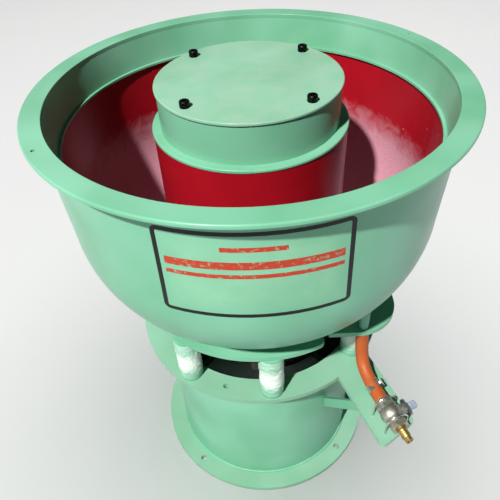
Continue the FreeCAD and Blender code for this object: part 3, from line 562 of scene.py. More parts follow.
grey_enamel, tree, shader, place = start_finish("grey_machine_enamel", IOR=1.5, Roughness=0.42)
blotch = add_node(tree, "ShaderNodeTexNoise", {"Vector": place, "Scale": grain(30), "Detail": 5.0})
cast_skin = add_node(tree, "ShaderNodeTexNoise", {"Vector": place, "Scale": grain(1.4), "Detail": 4.0})
tone_and_relief(tree, shader, blotch.outputs["Fac"], ("#4C545B", "#67717A"),
                cast_skin.outputs["Fac"], 0.4, 0.0003)

black_nylon, tree, shader, place = start_finish("moulded_black_nylon", IOR=1.53, Roughness=0.5)
pebble = add_node(tree, "ShaderNodeTexVoronoi", {"Vector": place, "Scale": grain(0.8)}, feature="F1")
tone_and_relief(tree, shader, pebble.outputs["Distance"], ("#17191A", "#2B2E30"),
                pebble.outputs["Distance"], 0.25, 0.0002)
print("motor finishes ready")

# %% [markdown]
# ## Spring sleeve wrap and hose rubber
# Each coil spring is wrapped in a crinkled sleeve that the spray gun caught at both ends: white in the
# middle, mint near the plates. The hose is extruded rubber, matt, with fine lines along it. The hose
# pattern follows the hose, so it reads a map that is stored on the hose: one turn round it across, and
# metres along it up.

# %% Sleeve wrap
RAGGED_EDGE = 0.030
FOOT_SPRAY_Z = 0.307
HEAD_SPRAY_Z = 0.370
sleeve_wrap, tree, shader, place = start_finish(
    "crinkled_sleeve_with_overspray", IOR=1.45, Roughness=0.38, Coat_Weight=0.15)
split = add_node(tree, "ShaderNodeSeparateXYZ", {"Vector": place})
fold = add_node(tree, "ShaderNodeTexNoise", {
    "Vector": place, "Scale": grain(9), "Detail": 6.0, "Roughness": 0.65, "Distortion": 1.0})
low_edge = add_node(tree, "ShaderNodeMath", {
    0: fold.outputs["Fac"], 1: RAGGED_EDGE, 2: FOOT_SPRAY_Z}, operation="MULTIPLY_ADD")
below = add_node(tree, "ShaderNodeMath", {
    0: low_edge.outputs["Value"], 1: split.outputs["Z"]}, operation="SUBTRACT")
foot_spray = add_node(tree, "ShaderNodeMapRange", {
    "Value": below.outputs["Value"], "From Min": -0.008, "From Max": 0.006, "To Min": 0.0, "To Max": 0.9})
high_edge = add_node(tree, "ShaderNodeMath", {
    0: fold.outputs["Fac"], 1: -RAGGED_EDGE, 2: HEAD_SPRAY_Z}, operation="MULTIPLY_ADD")
above = add_node(tree, "ShaderNodeMath", {
    0: split.outputs["Z"], 1: high_edge.outputs["Value"]}, operation="SUBTRACT")
head_spray = add_node(tree, "ShaderNodeMapRange", {
    "Value": above.outputs["Value"], "From Min": -0.006, "From Max": 0.008, "To Min": 0.0, "To Max": 0.75})
spray = add_node(tree, "ShaderNodeMath", {
    0: foot_spray.outputs["Result"], 1: head_spray.outputs["Result"]}, operation="MAXIMUM")
pale = add_node(tree, "ShaderNodeMix", {
    FACTOR: fold.outputs["Fac"], FIRST: linear("#B4CFC0"), SECOND: linear("#EDF4F0")}, data_type="RGBA")
oversprayed = add_node(tree, "ShaderNodeMix", {
    FACTOR: spray.outputs["Value"], FIRST: pale.outputs[MIXED], SECOND: linear(MINT)}, data_type="RGBA")
tree.links.new(oversprayed.outputs[MIXED], shader.inputs["Base Color"])
crease = add_node(tree, "ShaderNodeTexVoronoi", {
    "Vector": place, "Scale": grain(4.5), "Randomness": 1.0}, feature="DISTANCE_TO_EDGE")
crease_bump = add_node(tree, "ShaderNodeBump", {
    "Height": crease.outputs["Distance"], "Strength": 0.7, "Distance": 0.0012})
tree.links.new(crease_bump.outputs["Normal"], shader.inputs["Normal"])

print("sleeve wrap nodes:", len(tree.nodes))

# %% Hose rubber and dipped vinyl
hose_rubber, tree, shader, place = start_finish(
    "orange_extruded_rubber", IOR=1.5, Roughness=0.5, Specular_IOR_Level=0.3)
route_map = add_node(tree, "ShaderNodeUVMap", uv_map="around_and_along")
lines = add_node(tree, "ShaderNodeTexNoise", {"Scale": 1.0, "Detail": 2.0})
stretched = add_node(tree, "ShaderNodeMapping", {
    "Vector": route_map.outputs["UV"], "Scale": (60.0, grain(60), 1.0)})
tree.links.new(stretched.outputs["Vector"], lines.inputs["Vector"])
stain = add_node(tree, "ShaderNodeTexNoise", {
    "Vector": place, "Scale": grain(18), "Detail": 5.0, "Roughness": 0.6})
tone_and_relief(tree, shader, stain.outputs["Fac"], ("#8E3E18", "#A85628"),
                lines.outputs["Fac"], 0.35, 0.0003)

grey_vinyl, tree, shader, place = start_finish("dipped_grey_vinyl", IOR=1.5, Roughness=0.45)
smudge = add_node(tree, "ShaderNodeTexNoise", {"Vector": place, "Scale": grain(5), "Detail": 4.0})
tone_and_relief(tree, shader, smudge.outputs["Fac"], ("#6F7E97", "#A3ACBC"),
                smudge.outputs["Fac"], 0.3, 0.0004)
print("rubber and vinyl ready")

# %% [markdown]
# ## Dress the engineering nodes
# Most plates and castings already have the right shape, so they only change their finish. The record's slot
# names say which finish each node was meant to have, so one table gives every node its material.

# %% Dress the engineering nodes
FINISH_OF_SLOT = {
    "mint_paint": mint_enamel,
    "red_polyurethane": red_lining,
    "black_oxide": metal["black_oxide_steel"],
    "sleeve_wrap": sleeve_wrap,
    "spring_steel": metal["drawn_spring_steel"],
    "orange_hose": hose_rubber,
    "nickel_plate": metal["satin_nickel_plate"],
    "stainless": metal["drawn_stainless"],
    "brass": metal["turned_brass"],
    "handle_grey": metal["cast_aluminium"],
    "cast_iron": metal["machined_cast_iron"],
    "motor_grey": grey_enamel,
    "lamination_steel": laminations,
    "copper_winding": copper_wire,
    "bearing_steel": metal["ground_bearing_steel"],
    "shaft_steel": metal["turned_shaft_steel"],
    "zinc_steel": metal["bright_zinc_plate"],
    "black_nylon": black_nylon,
}
slot_of_node = {part["node"]: part["material_slot"] for part in frame["record"]["subparts"]}
for name, node in nodes.items():
    for holder in node.material_slots:
        holder.material = FINISH_OF_SLOT[slot_of_node[name]]
nodes["bowl_shell"].material_slots[0].material = bowl_enamel
nodes["cover_plate"].material_slots[0].material = dusted_enamel["mint_enamel_with_settled_dust"]
for name in ("foot_flange", "spring_ring", "valve_arm"):
    nodes[name].material_slots[0].material = dusted_enamel["mint_enamel_with_floor_grime"]
# the pedestal gets painted shade inside its bore
nodes["pedestal_shell"].material_slots[0].material = shade_painted_inside
print("dressed", len(nodes), "nodes")

# %% [markdown]
# ## Helpers for shapes
# Geometry Nodes make what is turned, repeated or swept. A tree is written once with named sizes, and `grow`
# runs it on a start mesh and returns a plain mesh at the origin, which can then ride on a body.

# %% Helpers for shapes
def start_tree(name, sizes):
    """A Geometry Nodes tree with a start geometry, named sizes and a finish."""
    tree = bpy.data.node_groups.new(name, "GeometryNodeTree")
    tree.interface.new_socket("Geometry", in_out="INPUT", socket_type="NodeSocketGeometry")
    for label, kind in sizes.items():
        tree.interface.new_socket(label, in_out="INPUT", socket_type="NodeSocket" + kind)
    tree.interface.new_socket("Finish", in_out="INPUT", socket_type="NodeSocketMaterial")
    tree.interface.new_socket("Geometry", in_out="OUTPUT", socket_type="NodeSocketGeometry")
    return tree, add_node(tree, "NodeGroupInput").outputs


def end_tree(tree, given, shape):
    """Makes instances real, shades the skin smooth and sets the finish."""
    real = add_node(tree, "GeometryNodeRealizeInstances", {"Geometry": shape})
    smooth = add_node(tree, "GeometryNodeSetShadeSmooth", {0: real.outputs["Geometry"]})
    finished = add_node(tree, "GeometryNodeSetMaterial", {
        "Geometry": smooth.outputs[0], "Material": given["Finish"]})
    add_node(tree, "NodeGroupOutput", {"Geometry": finished.outputs["Geometry"]})


def grow(name, tree, start, finish, sizes):
    """Runs a tree on a start mesh and gives a plain, outward-facing piece."""
    holder = bpy.data.objects.new(name, start)
    bpy.context.scene.collection.objects.link(holder)
    maker = holder.modifiers.new("making", "NODES")
    maker.node_group = tree
    for item in tree.interface.items_tree:
        if item.in_out == "INPUT" and item.name in sizes:
            maker[item.identifier] = sizes[item.name]
        if item.in_out == "INPUT" and item.name == "Finish":
            maker[item.identifier] = finish
    seen = holder.evaluated_get(bpy.context.evaluated_depsgraph_get())
    mesh = bpy.data.meshes.new_from_object(seen)
    holder.modifiers.remove(maker)
    holder.data = mesh
    mesh.name = name
    face_outwards(mesh)
    if not mesh.materials:
        mesh.materials.append(finish)
    print(name, len(mesh.polygons), "faces")
    return holder


def face_outwards(mesh):
    """Turns the faces round if the closed skin's volume comes out negative."""
    work = bmesh.new()
    work.from_mesh(mesh)
    inside_out = work.calc_volume(signed=True) < 0
    work.free()
    if inside_out:
        mesh.flip_normals()


def level_shading(piece):
    """Large flat faces decide the shading, so thin rolled edges catch light without dulling the flats."""
    weigh = piece.modifiers.new("level_shading", "WEIGHTED_NORMAL")
    weigh.keep_sharp = True
    weigh.weight = 80


def polyline(name, points, closed=False):
    """A mesh of points and edges, the start of a sweep."""
    mesh = bpy.data.meshes.new(name)
    edges = [(i, i + 1) for i in range(len(points) - 1)]
    if closed:
        edges.append((len(points) - 1, 0))
    mesh.from_pydata([tuple(p) for p in points], edges, [])
    return mesh


def on_circle(radius, azimuth, height):
    """A point in metres from millimetres. Azimuth is from the front, growing to the right."""
    a = math.radians(azimuth)
    return Vector((radius * math.sin(a), -radius * math.cos(a), height)) * 0.001


print("shape helpers ready")

# %% [markdown]
# ## The rim flange, as a turned section
# The rim is flat plate with rolled and ground edges. A turned piece is a section carried round a circle:
# Fillet Curve rounds the section's corners by the radius stored on each point, and Curve to Mesh carries it
# round. The two lid-screw holes are drilled afterwards with a Boolean, as they are on the real rim.

# %% Turned section tree
turned, given = start_tree("turned_section", {
    "Path Radius": "Float", "Steps Round": "Int", "Corner Steps": "Int"})
section = add_node(turned, "GeometryNodeMeshToCurve", {"Mesh": given["Geometry"]})
corner = add_node(turned, "GeometryNodeInputNamedAttribute", {"Name": "corner"}, data_type="FLOAT")
rounded = add_node(turned, "GeometryNodeFilletCurve", {
    "Curve": section.outputs["Curve"], "Radius": corner.outputs["Attribute"],
    "Limit Radius": True, "Count": given["Corner Steps"]}, mode="POLY")
circle = add_node(turned, "GeometryNodeCurvePrimitiveCircle", {
    "Resolution": given["Steps Round"], "Radius": given["Path Radius"]}, mode="RADIUS")
level_circle = add_node(turned, "GeometryNodeSetCurveNormal", {"Curve": circle.outputs["Curve"]}, mode="Z_UP")
carried = add_node(turned, "GeometryNodeCurveToMesh", {
    "Curve": level_circle.outputs["Curve"], "Profile Curve": rounded.outputs["Curve"]})
end_tree(turned, given, carried.outputs["Mesh"])


def turn_section(name, finish, corners, steps):
    """A ring from (radius, height, corner radius) in millimetres."""
    path_radius = 0.001 * min(r for r, z, c in corners)
    points = [(0.001 * r - path_radius, -0.001 * z, 0.0) for r, z, c in corners]
    start = polyline(name, points, closed=True)
    rounding = start.attributes.new("corner", "FLOAT", "POINT")
    for item, (r, z, c) in zip(rounding.data, corners):
        item.value = 0.001 * c
    return grow(name, turned, start, finish, {
        "Path Radius": path_radius, "Steps Round": steps, "Corner Steps": 4})


def drill(piece, places, radius, low, high):
    """Round holes straight down, cut with a Boolean that is then applied."""
    cutter_mesh = bpy.data.meshes.new("drill")
    work = bmesh.new()
    for place in places:
        at = Matrix.Translation((place.x, place.y, (low + high) / 2))
        bmesh.ops.create_cone(work, cap_ends=True, segments=32, radius1=radius, radius2=radius,
                              depth=high - low, matrix=at)
    work.to_mesh(cutter_mesh)
    work.free()
    cutter = bpy.data.objects.new("drill", cutter_mesh)
    bpy.context.scene.collection.objects.link(cutter)
    cut = piece.modifiers.new("drilling", "BOOLEAN")
    cut.object = cutter
    cut.solver = "EXACT"
    seen = piece.evaluated_get(bpy.context.evaluated_depsgraph_get())
    mesh = bpy.data.meshes.new_from_object(seen)
    piece.modifiers.remove(cut)
    piece.data = mesh
    bpy.data.objects.remove(cutter)


rim = turn_section("rolled_rim", mint_enamel, [
    (253.6, 692, 0.3), (280, 692, 1.5), (280, 698, 2.2), (253.6, 698, 0.8)], 288)
print("rim before drilling", [round(v, 4) for v in rim.bound_box[0]], [round(v, 4) for v in rim.bound_box[6]])
drill(rim, [on_circle(270.5, -60, 0), on_circle(270.5, 120, 0)], 0.00275, 0.68, 0.71)
level_shading(rim)
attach(rim, "bowl")
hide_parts("rim_flange")

# %% [markdown]
# ## Weld beads
# The frame is welded and painted over, so each seam is a soft rope of small ripples. A bead follows its
# seam, so it is a path swept by a small circle whose size swells and shrinks a few millimetres at a time,
# as the welder's hand moves. The ripple is a sine of the length along the seam, with noise on top so that
# no two ripples match.

# %% Weld bead tree
weld, given = start_tree("weld_bead", {"Bead Radius": "Float", "Ripple": "Float", "Seed": "Float"})
seam = add_node(weld, "GeometryNodeMeshToCurve", {"Mesh": given["Geometry"]})
fine = add_node(weld, "GeometryNodeResampleCurve", {
    "Curve": seam.outputs["Curve"], "Length": 0.0012}, mode="LENGTH")
run = add_node(weld, "GeometryNodeSplineParameter")
phase = add_node(weld, "ShaderNodeMath", {0: run.outputs["Length"], 1: given["Ripple"]}, operation="DIVIDE")
whole_turns = add_node(weld, "ShaderNodeMath", {
    0: phase.outputs["Value"], 1: 2 * math.pi}, operation="MULTIPLY")
swell = add_node(weld, "ShaderNodeMath", {0: whole_turns.outputs["Value"]}, operation="SINE")
where = add_node(weld, "GeometryNodeInputPosition")
unsteady = add_node(weld, "ShaderNodeTexNoise", {
    "Vector": where.outputs["Position"], "W": given["Seed"], "Scale": grain(14), "Detail": 2.0},
    noise_dimensions="4D")
size = add_node(weld, "ShaderNodeMath", {
    0: swell.outputs["Value"], 1: 0.10, 2: 0.62}, operation="MULTIPLY_ADD")
uneven = add_node(weld, "ShaderNodeMath", {
    0: unsteady.outputs["Fac"], 1: 0.75, 2: size.outputs["Value"]}, operation="MULTIPLY_ADD")
sized = add_node(weld, "GeometryNodeSetCurveRadius", {
    "Curve": fine.outputs["Curve"], "Radius": uneven.outputs["Value"]})
bead_shape = add_node(weld, "GeometryNodeCurvePrimitiveCircle", {
    "Resolution": 8, "Radius": given["Bead Radius"]}, mode="RADIUS")
bead = add_node(weld, "GeometryNodeCurveToMesh", {
    "Curve": sized.outputs["Curve"], "Profile Curve": bead_shape.outputs["Curve"], "Fill Caps": True})
if "Scale" in bead.inputs:
    weld.links.new(uneven.outputs["Value"], bead.inputs["Scale"])
end_tree(weld, given, bead.outputs["Mesh"])
print("bead tree nodes:", len(weld.nodes))


def weld_round(name, body, radius, height, start, sweep, bead_radius, seed):
    """A bead along part of a circle, in millimetres and degrees."""
    steps = max(8, int(abs(sweep) / 2))
    closed = abs(sweep) >= 360
    count = steps if closed else steps + 1
    points = [on_circle(radius, start + sweep * i / steps, height) for i in range(count)]
    piece = grow(name, weld, polyline(name, points, closed), mint_enamel, {
        "Bead Radius": bead_radius * 0.001, "Ripple": 0.0034, "Seed": seed})
    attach(piece, body)
    return piece


# %% Lay the beads
PEDESTAL_SEAM = 165.8
SHOE_SEAM = 149.6
SHOE_SEAM_Z = 393.2
weld_round("pedestal_foot_weld", "base", PEDESTAL_SEAM, 8.6, 0, 360, 2.6, 1.0)
weld_round("pedestal_ring_weld", "base", PEDESTAL_SEAM, 289.4, 0, 360, 2.2, 2.0)
SHOES = (("front", -55, 81, 3.0), ("rear", 125, 81, 4.0), ("left", 215, 81, 5.0), ("right", 40, 76, 6.0))
for shoe, start, sweep, seed in SHOES:
    weld_round(shoe + "_shoe_weld", "bowl", SHOE_SEAM, SHOE_SEAM_Z, start, sweep, 2.2, seed)

# %% [markdown]
# ## Cover screws
# Four M8 socket screws hold the cover. A socket head is a knurled drum with a small chamfer and a six-sided
# hole. The head is skinned from rings of points: round rings outside, and rings pulled onto a hexagon for
# the socket. One screw is instanced round a circle, each stopped at its own angle, because no fitter lines
# them up.

# %% One socket screw
def hexagon_reach(angle, across_flats):
    """How far a hexagon reaches at an angle from its centre."""
    step = math.radians(60)
    return across_flats / 2 / math.cos((angle % step) - step / 2)


def skin_rings(name, rings, closed=False):
    """One skin over rings with equally many points. An open stack of rings gets a cap at each end."""
    mesh = bpy.data.meshes.new(name)
    points = [tuple(p) for ring in rings for p in ring]
    count = len(rings[0])
    faces = []
    for i in range(len(rings) if closed else len(rings) - 1):
        low = i * count
        high = (i + 1) % len(rings) * count
        for j in range(count):
            k = (j + 1) % count
            faces.append((low + j, low + k, high + k, high + j))
    if not closed:
        faces.append(tuple(reversed(range(count))))
        faces.append(tuple(range(len(points) - count, len(points))))
    mesh.from_pydata(points, [], faces)
    mesh.polygons.foreach_set("use_smooth", [True] * len(faces))
    return mesh


def socket_screw(head_radius, head_height, shank_radius, shank_length, across_flats, socket_depth):
    """A socket-head screw with its head's underside at height 0, in millimetres."""
    steps = 48
    stack = []

    def ring(reach, height):
        points = []
        for j in range(steps):
            a = 2 * math.pi * j / steps
            r = reach(j, a) if callable(reach) else reach
            points.append(Vector((r * math.cos(a), r * math.sin(a), height)) * 0.001)
        stack.append(points)

    def knurl(j, a):
        return head_radius - (0.22 if j % 2 else 0.0)

    def socket(j, a):
        return hexagon_reach(a, across_flats)

    ring(shank_radius - 0.5, -shank_length)
    ring(shank_radius, -shank_length + 0.5)
    ring(shank_radius, -0.05)
    ring(shank_radius + 0.1, 0.0)
    ring(head_radius - 0.5, 0.0)
    ring(knurl, 0.4)
    ring(knurl, head_height - 1.2)
    ring(head_radius - 0.15, head_height - 0.9)
    ring(head_radius - 0.6, head_height - 0.15)
    ring(head_radius - 1.0, head_height)
    ring(lambda j, a: socket(j, a) + 0.35, head_height)
    ring(socket, head_height - 0.35)
    ring(socket, head_height - socket_depth)
    ring(lambda j, a: socket(j, a) * 0.4, head_height - socket_depth - 0.8)
    return skin_rings("socket_screw", stack)


print("a 6 mm socket is", round(2 * hexagon_reach(0.0, 6.0), 2), "mm across its corners")

# %% Instance tree for a circle of parts
bolt_circle, given = start_tree("parts_round_a_circle", {
    "Count": "Int", "Circle Radius": "Float", "First Angle": "Float", "Height": "Float", "Seed": "Int"})
spread_circle = add_node(bolt_circle, "GeometryNodeCurvePrimitiveCircle", {
    "Resolution": given["Count"], "Radius": given["Circle Radius"]}, mode="RADIUS")
stations = add_node(bolt_circle, "GeometryNodeCurveToPoints", {
    "Curve": spread_circle.outputs["Curve"]}, mode="EVALUATED")
turn_random = add_node(bolt_circle, "FunctionNodeRandomValue", {
    2: 0.0, 3: 2 * math.pi, "Seed": given["Seed"]}, data_type="FLOAT")
own_turn = add_node(bolt_circle, "ShaderNodeCombineXYZ", {"Z": turn_random.outputs[1]})
placed = add_node(bolt_circle, "GeometryNodeInstanceOnPoints", {
    "Points": stations.outputs["Points"], "Instance": given["Geometry"],
    "Rotation": own_turn.outputs["Vector"]})
lift = add_node(bolt_circle, "ShaderNodeCombineXYZ", {"Z": given["Height"]})
first_turn = add_node(bolt_circle, "ShaderNodeCombineXYZ", {"Z": given["First Angle"]})
set_round = add_node(bolt_circle, "GeometryNodeTransform", {
    "Geometry": placed.outputs["Instances"], "Translation": lift.outputs["Vector"],
    "Rotation": first_turn.outputs["Vector"]})
end_tree(bolt_circle, given, set_round.outputs["Geometry"])

screws = grow("cover_socket_screws", bolt_circle, socket_screw(6.3, 8.0, 3.95, 19.5, 6.0, 4.2),
              metal["black_oxide_steel"], {
    "Count": 4, "Circle Radius": 0.103, "First Angle": math.radians(-90 - 46), "Height": 0.707, "Seed": 11})
level_shading(screws)
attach(screws, "bowl")
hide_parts("cover_bolts")
low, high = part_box("cover_bolts")
print("screws", [round(v, 4) for v in screws.bound_box[0]], "engineering", [round(v, 4) for v in low])

# %% [markdown]
# ## Spring sleeves and coils
# Eight springs carry the bowl, one pair under each of its four shoes. Each is a coil inside a sleeve that
# has crumpled like thin leather. The sleeve is a turned tube, set on a circle four times, and the four are
# set again, turned by the angle between the two springs of a pair. They are crumpled after the instances
# are real, so noise in space gives every sleeve its own folds. The folds fade out at both ends, where the
# sleeve is held on its seats. Sleeves and coils stretch when the bowl moves; here they are only set in
# place between the base and the bowl.

# %% Pairs on a circle
SPRING_BOTTOM = 301.0
SPRING_TOP = 382.0
FIRST_SPRING = math.radians(-90 - 38.0)
SPRING_PAIR = math.radians(38.0 + 3.8)
SPRING_CIRCLE = 0.1795
FOLDS_START = 0.311
FOLDS_END = 0.372


def set_in_pairs(tree, given, mesh, lift=None):
    """Copies on the circle, and the same copies again, turned by the pair's angle."""
    circle = add_node(tree, "GeometryNodeCurvePrimitiveCircle", {
        "Resolution": given["Count"], "Radius": given["Circle Radius"]}, mode="RADIUS")
    points = add_node(tree, "GeometryNodeCurveToPoints", {"Curve": circle.outputs["Curve"]}, mode="EVALUATED")
    copies = add_node(tree, "GeometryNodeInstanceOnPoints", {
        "Points": points.outputs["Points"], "Instance": mesh})
    turn = add_node(tree, "ShaderNodeCombineXYZ", {"Z": given["First Angle"]})
    first = add_node(tree, "GeometryNodeTransform", {
        "Geometry": copies.outputs["Instances"], "Rotation": turn.outputs["Vector"]})
    if lift is not None:
        raised = add_node(tree, "ShaderNodeCombineXYZ", {"Z": lift})
        tree.links.new(raised.outputs["Vector"], first.inputs["Translation"])
    partner_turn = add_node(tree, "ShaderNodeCombineXYZ", {"Z": given["Pair Angle"]})
    second = add_node(tree, "GeometryNodeTransform", {
        "Geometry": first.outputs["Geometry"], "Rotation": partner_turn.outputs["Vector"]})
    both = add_node(tree, "GeometryNodeJoinGeometry", {"Geometry": first.outputs["Geometry"]})
    tree.links.new(second.outputs["Geometry"], both.inputs["Geometry"])
    return both.outputs["Geometry"]


print("springs in pairs", round(math.degrees(SPRING_PAIR), 1), "degrees apart")

# %% Sleeve tree
sleeves_tree, given = start_tree("crumpled_sleeves", {
    "Sleeve Radius": "Float", "Count": "Int", "Circle Radius": "Float", "First Angle": "Float",
    "Pair Angle": "Float", "Fold Depth": "Float", "Fold Size": "Float", "Bottom": "Float", "Top": "Float",
    "Seed": "Float"})
wall = add_node(sleeves_tree, "GeometryNodeMeshToCurve", {"Mesh": given["Geometry"]})
wall_steps = add_node(sleeves_tree, "GeometryNodeResampleCurve", {
    "Curve": wall.outputs["Curve"], "Length": 0.0016}, mode="LENGTH")
sleeve_circle = add_node(sleeves_tree, "GeometryNodeCurvePrimitiveCircle", {
    "Resolution": 64, "Radius": given["Sleeve Radius"]}, mode="RADIUS")
sleeve_level = add_node(sleeves_tree, "GeometryNodeSetCurveNormal", {
    "Curve": sleeve_circle.outputs["Curve"]}, mode="Z_UP")
sleeve = add_node(sleeves_tree, "GeometryNodeCurveToMesh", {
    "Curve": sleeve_level.outputs["Curve"], "Profile Curve": wall_steps.outputs["Curve"]})
sleeves_real = add_node(sleeves_tree, "GeometryNodeRealizeInstances", {
    "Geometry": set_in_pairs(sleeves_tree, given, sleeve.outputs["Mesh"])})
skin_place = add_node(sleeves_tree, "GeometryNodeInputPosition")
skin_normal = add_node(sleeves_tree, "GeometryNodeInputNormal")
skin_split = add_node(sleeves_tree, "ShaderNodeSeparateXYZ", {"Vector": skin_place.outputs["Position"]})
squat = add_node(sleeves_tree, "ShaderNodeVectorMath", {
    0: skin_place.outputs["Position"], 1: (1.0, 1.0, 1.7)}, operation="MULTIPLY")
folds = add_node(sleeves_tree, "ShaderNodeTexNoise", {
    "Vector": squat.outputs["Vector"], "W": given["Seed"], "Scale": given["Fold Size"],
    "Detail": 3.0, "Roughness": 0.55, "Distortion": 0.5}, noise_dimensions="4D")
ridge = add_node(sleeves_tree, "ShaderNodeMath", {0: folds.outputs["Fac"], 1: 0.5}, operation="SUBTRACT")
sharp_ridge = add_node(sleeves_tree, "ShaderNodeMath", {0: ridge.outputs["Value"]}, operation="ABSOLUTE")
from_foot = add_node(sleeves_tree, "ShaderNodeMapRange", {
    "Value": skin_split.outputs["Z"], "From Min": given["Bottom"], "From Max": FOLDS_START})
from_head = add_node(sleeves_tree, "ShaderNodeMapRange", {
    "Value": skin_split.outputs["Z"], "From Min": given["Top"], "From Max": FOLDS_END})
held = add_node(sleeves_tree, "ShaderNodeMath", {
    0: from_foot.outputs["Result"], 1: from_head.outputs["Result"]}, operation="MULTIPLY")
depth = add_node(sleeves_tree, "ShaderNodeMath", {
    0: sharp_ridge.outputs["Value"], 1: given["Fold Depth"]}, operation="MULTIPLY")
inwards = add_node(sleeves_tree, "ShaderNodeMath", {0: depth.outputs["Value"], 1: -1.0}, operation="MULTIPLY")
held_depth = add_node(sleeves_tree, "ShaderNodeMath", {
    0: inwards.outputs["Value"], 1: held.outputs["Value"]}, operation="MULTIPLY")
push = add_node(sleeves_tree, "ShaderNodeVectorMath", {
    0: skin_normal.outputs["Normal"], "Scale": held_depth.outputs["Value"]}, operation="SCALE")
crumpled = add_node(sleeves_tree, "GeometryNodeSetPosition", {
    "Geometry": sleeves_real.outputs["Geometry"], "Offset": push.outputs["Vector"]})
end_tree(sleeves_tree, given, crumpled.outputs["Geometry"])


def bend_with_bowl(piece):
    """Bakes the piece's placement into its mesh; it does not follow the bowl or stretch."""
    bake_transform(piece)


def sleeve_section(inner, outer, low, high):
    corners = [(inner, low), (outer, low), (outer, high), (inner, high)]
    return polyline("sleeve_section", [(0.001 * (r - inner), -0.001 * z, 0) for r, z in corners], closed=True)


SLEEVE_WALL = sleeve_section(15.5, 17.5, SPRING_BOTTOM, SPRING_TOP)
sleeves = grow("spring_sleeves", sleeves_tree, SLEEVE_WALL, sleeve_wrap, {
    "Sleeve Radius": 0.0155, "Count": 4, "Circle Radius": SPRING_CIRCLE, "First Angle": FIRST_SPRING,
    "Pair Angle": SPRING_PAIR, "Fold Depth": 0.0075, "Fold Size": grain(13),
    "Bottom": SPRING_BOTTOM * 0.001, "Top": SPRING_TOP * 0.001, "Seed": 4.0})
bend_with_bowl(sleeves)
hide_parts(*["spring_sleeve_%d" % i for i in range(1, 9)])

# %% Coil tree
coils_tree, given = start_tree("coil_springs", {
    "Turns": "Float", "Mean Radius": "Float", "Wire Radius": "Float", "Bottom": "Float", "Height": "Float",
    "Count": "Int", "Circle Radius": "Float", "First Angle": "Float", "Pair Angle": "Float"})
helix = add_node(coils_tree, "GeometryNodeCurveSpiral", {
    "Resolution": 30, "Rotations": given["Turns"], "Start Radius": given["Mean Radius"],
    "End Radius": given["Mean Radius"], "Height": given["Height"]})
wire = add_node(coils_tree, "GeometryNodeCurvePrimitiveCircle", {
    "Resolution": 10, "Radius": given["Wire Radius"]}, mode="RADIUS")
coil = add_node(coils_tree, "GeometryNodeCurveToMesh", {
    "Curve": helix.outputs["Curve"], "Profile Curve": wire.outputs["Curve"], "Fill Caps": True})
end_tree(coils_tree, given, set_in_pairs(coils_tree, given, coil.outputs["Mesh"], given["Bottom"]))

coils = grow("spring_coils", coils_tree, bpy.data.meshes.new("empty_start"), metal["drawn_spring_steel"], {
    "Turns": 6.0, "Mean Radius": 0.0118, "Wire Radius": 0.0024, "Bottom": 0.3034, "Height": 0.0762,
    "Count": 4, "Circle Radius": SPRING_CIRCLE, "First Angle": FIRST_SPRING, "Pair Angle": SPRING_PAIR})
bend_with_bowl(coils)
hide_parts("coil_springs")

# %% [markdown]
# ## The drain hose
# A hose takes one smooth line, so its route is a NURBS spline with a few control points: down out of the
# bowl, and along the arm to the valve's tail. Its wall is skinned from rings that follow points read back
# from that spline. Where it is pushed over the barbed tail it swells a little, and the clamp pinches it.
# Both its ends are held, so it gives a little as the bowl rises and falls; here it is only set in place.

# %% Hose route
ARM = math.radians(20.5)
VALVE_Z = 313.5
VALVE_ACROSS = 80
SPIGOT_Z = 384.5
ALONG = Vector((math.sin(ARM), -math.cos(ARM), 0))
ACROSS = Vector((math.cos(ARM), math.sin(ARM), 0))


def on_arm(along, across, height):
    """A point in metres from millimetres along the valve arm, across it and up."""
    return (ALONG * along + ACROSS * across + Vector((0, 0, height))) * 0.001


ROUTE = [Vector((0.146, -0.146, SPIGOT_Z * 0.001)), Vector((0.146, -0.146, 0.348)),
         on_arm(214, VALVE_ACROSS, VALVE_Z), on_arm(263, VALVE_ACROSS, VALVE_Z)]


def route_points(route, count):
    """Points read from the route's own NURBS spline."""
    line = bpy.data.curves.new("hose_route", "CURVE")
    line.dimensions = "3D"
    spline = line.splines.new("NURBS")
    spline.points.add(len(route) - 1)
    for point, place in zip(spline.points, route):
        point.co = (*place, 1.0)
    spline.order_u = 3
    spline.use_endpoint_u = True
    spline.resolution_u = count
    holder = bpy.data.objects.new("hose_route", line)
    bpy.context.scene.collection.objects.link(holder)
    seen = holder.evaluated_get(bpy.context.evaluated_depsgraph_get())
    mesh = bpy.data.meshes.new_from_object(seen)
    points = [v.co.copy() for v in mesh.vertices]
    bpy.data.objects.remove(holder)
    return points


hose_line = route_points(ROUTE, 24)
hose_run = [0.0]
for before, after in zip(hose_line, hose_line[1:]):
    hose_run.append(hose_run[-1] + (after - before).length)
print("hose", round(hose_run[-1] * 1000, 1), "mm long in", len(hose_line), "points")

# %% Hose wall
def rings_along(points, radii, steps):
    """Rings of points square to a line, carried along without twisting."""
    rings = []
    side = Vector((1, 0, 0))
    for i, (point, radius) in enumerate(zip(points, radii)):
        before = points[max(i - 1, 0)]
        after = points[min(i + 1, len(points) - 1)]
        way = (after - before).normalized()
        side = (side - way * side.dot(way)).normalized()
        other = way.cross(side)
        ring = []
        for j in range(steps):
            a = 2 * math.pi * j / steps
            ring.append(point + (side * math.cos(a) + other * math.sin(a)) * radius)
        rings.append(ring)
    return rings


def hose_radius(left):
    """The outside radius at a distance from the valve end: swollen over barbs, pinched under the clamp."""
    swell = 0.0006 * max(0.0, min(1.0, (0.036 - left) / 0.008))
    pinch = 0.0005 * max(0.0, 1.0 - abs(left - 0.0225) / 0.008)
    return 0.0095 + swell - pinch


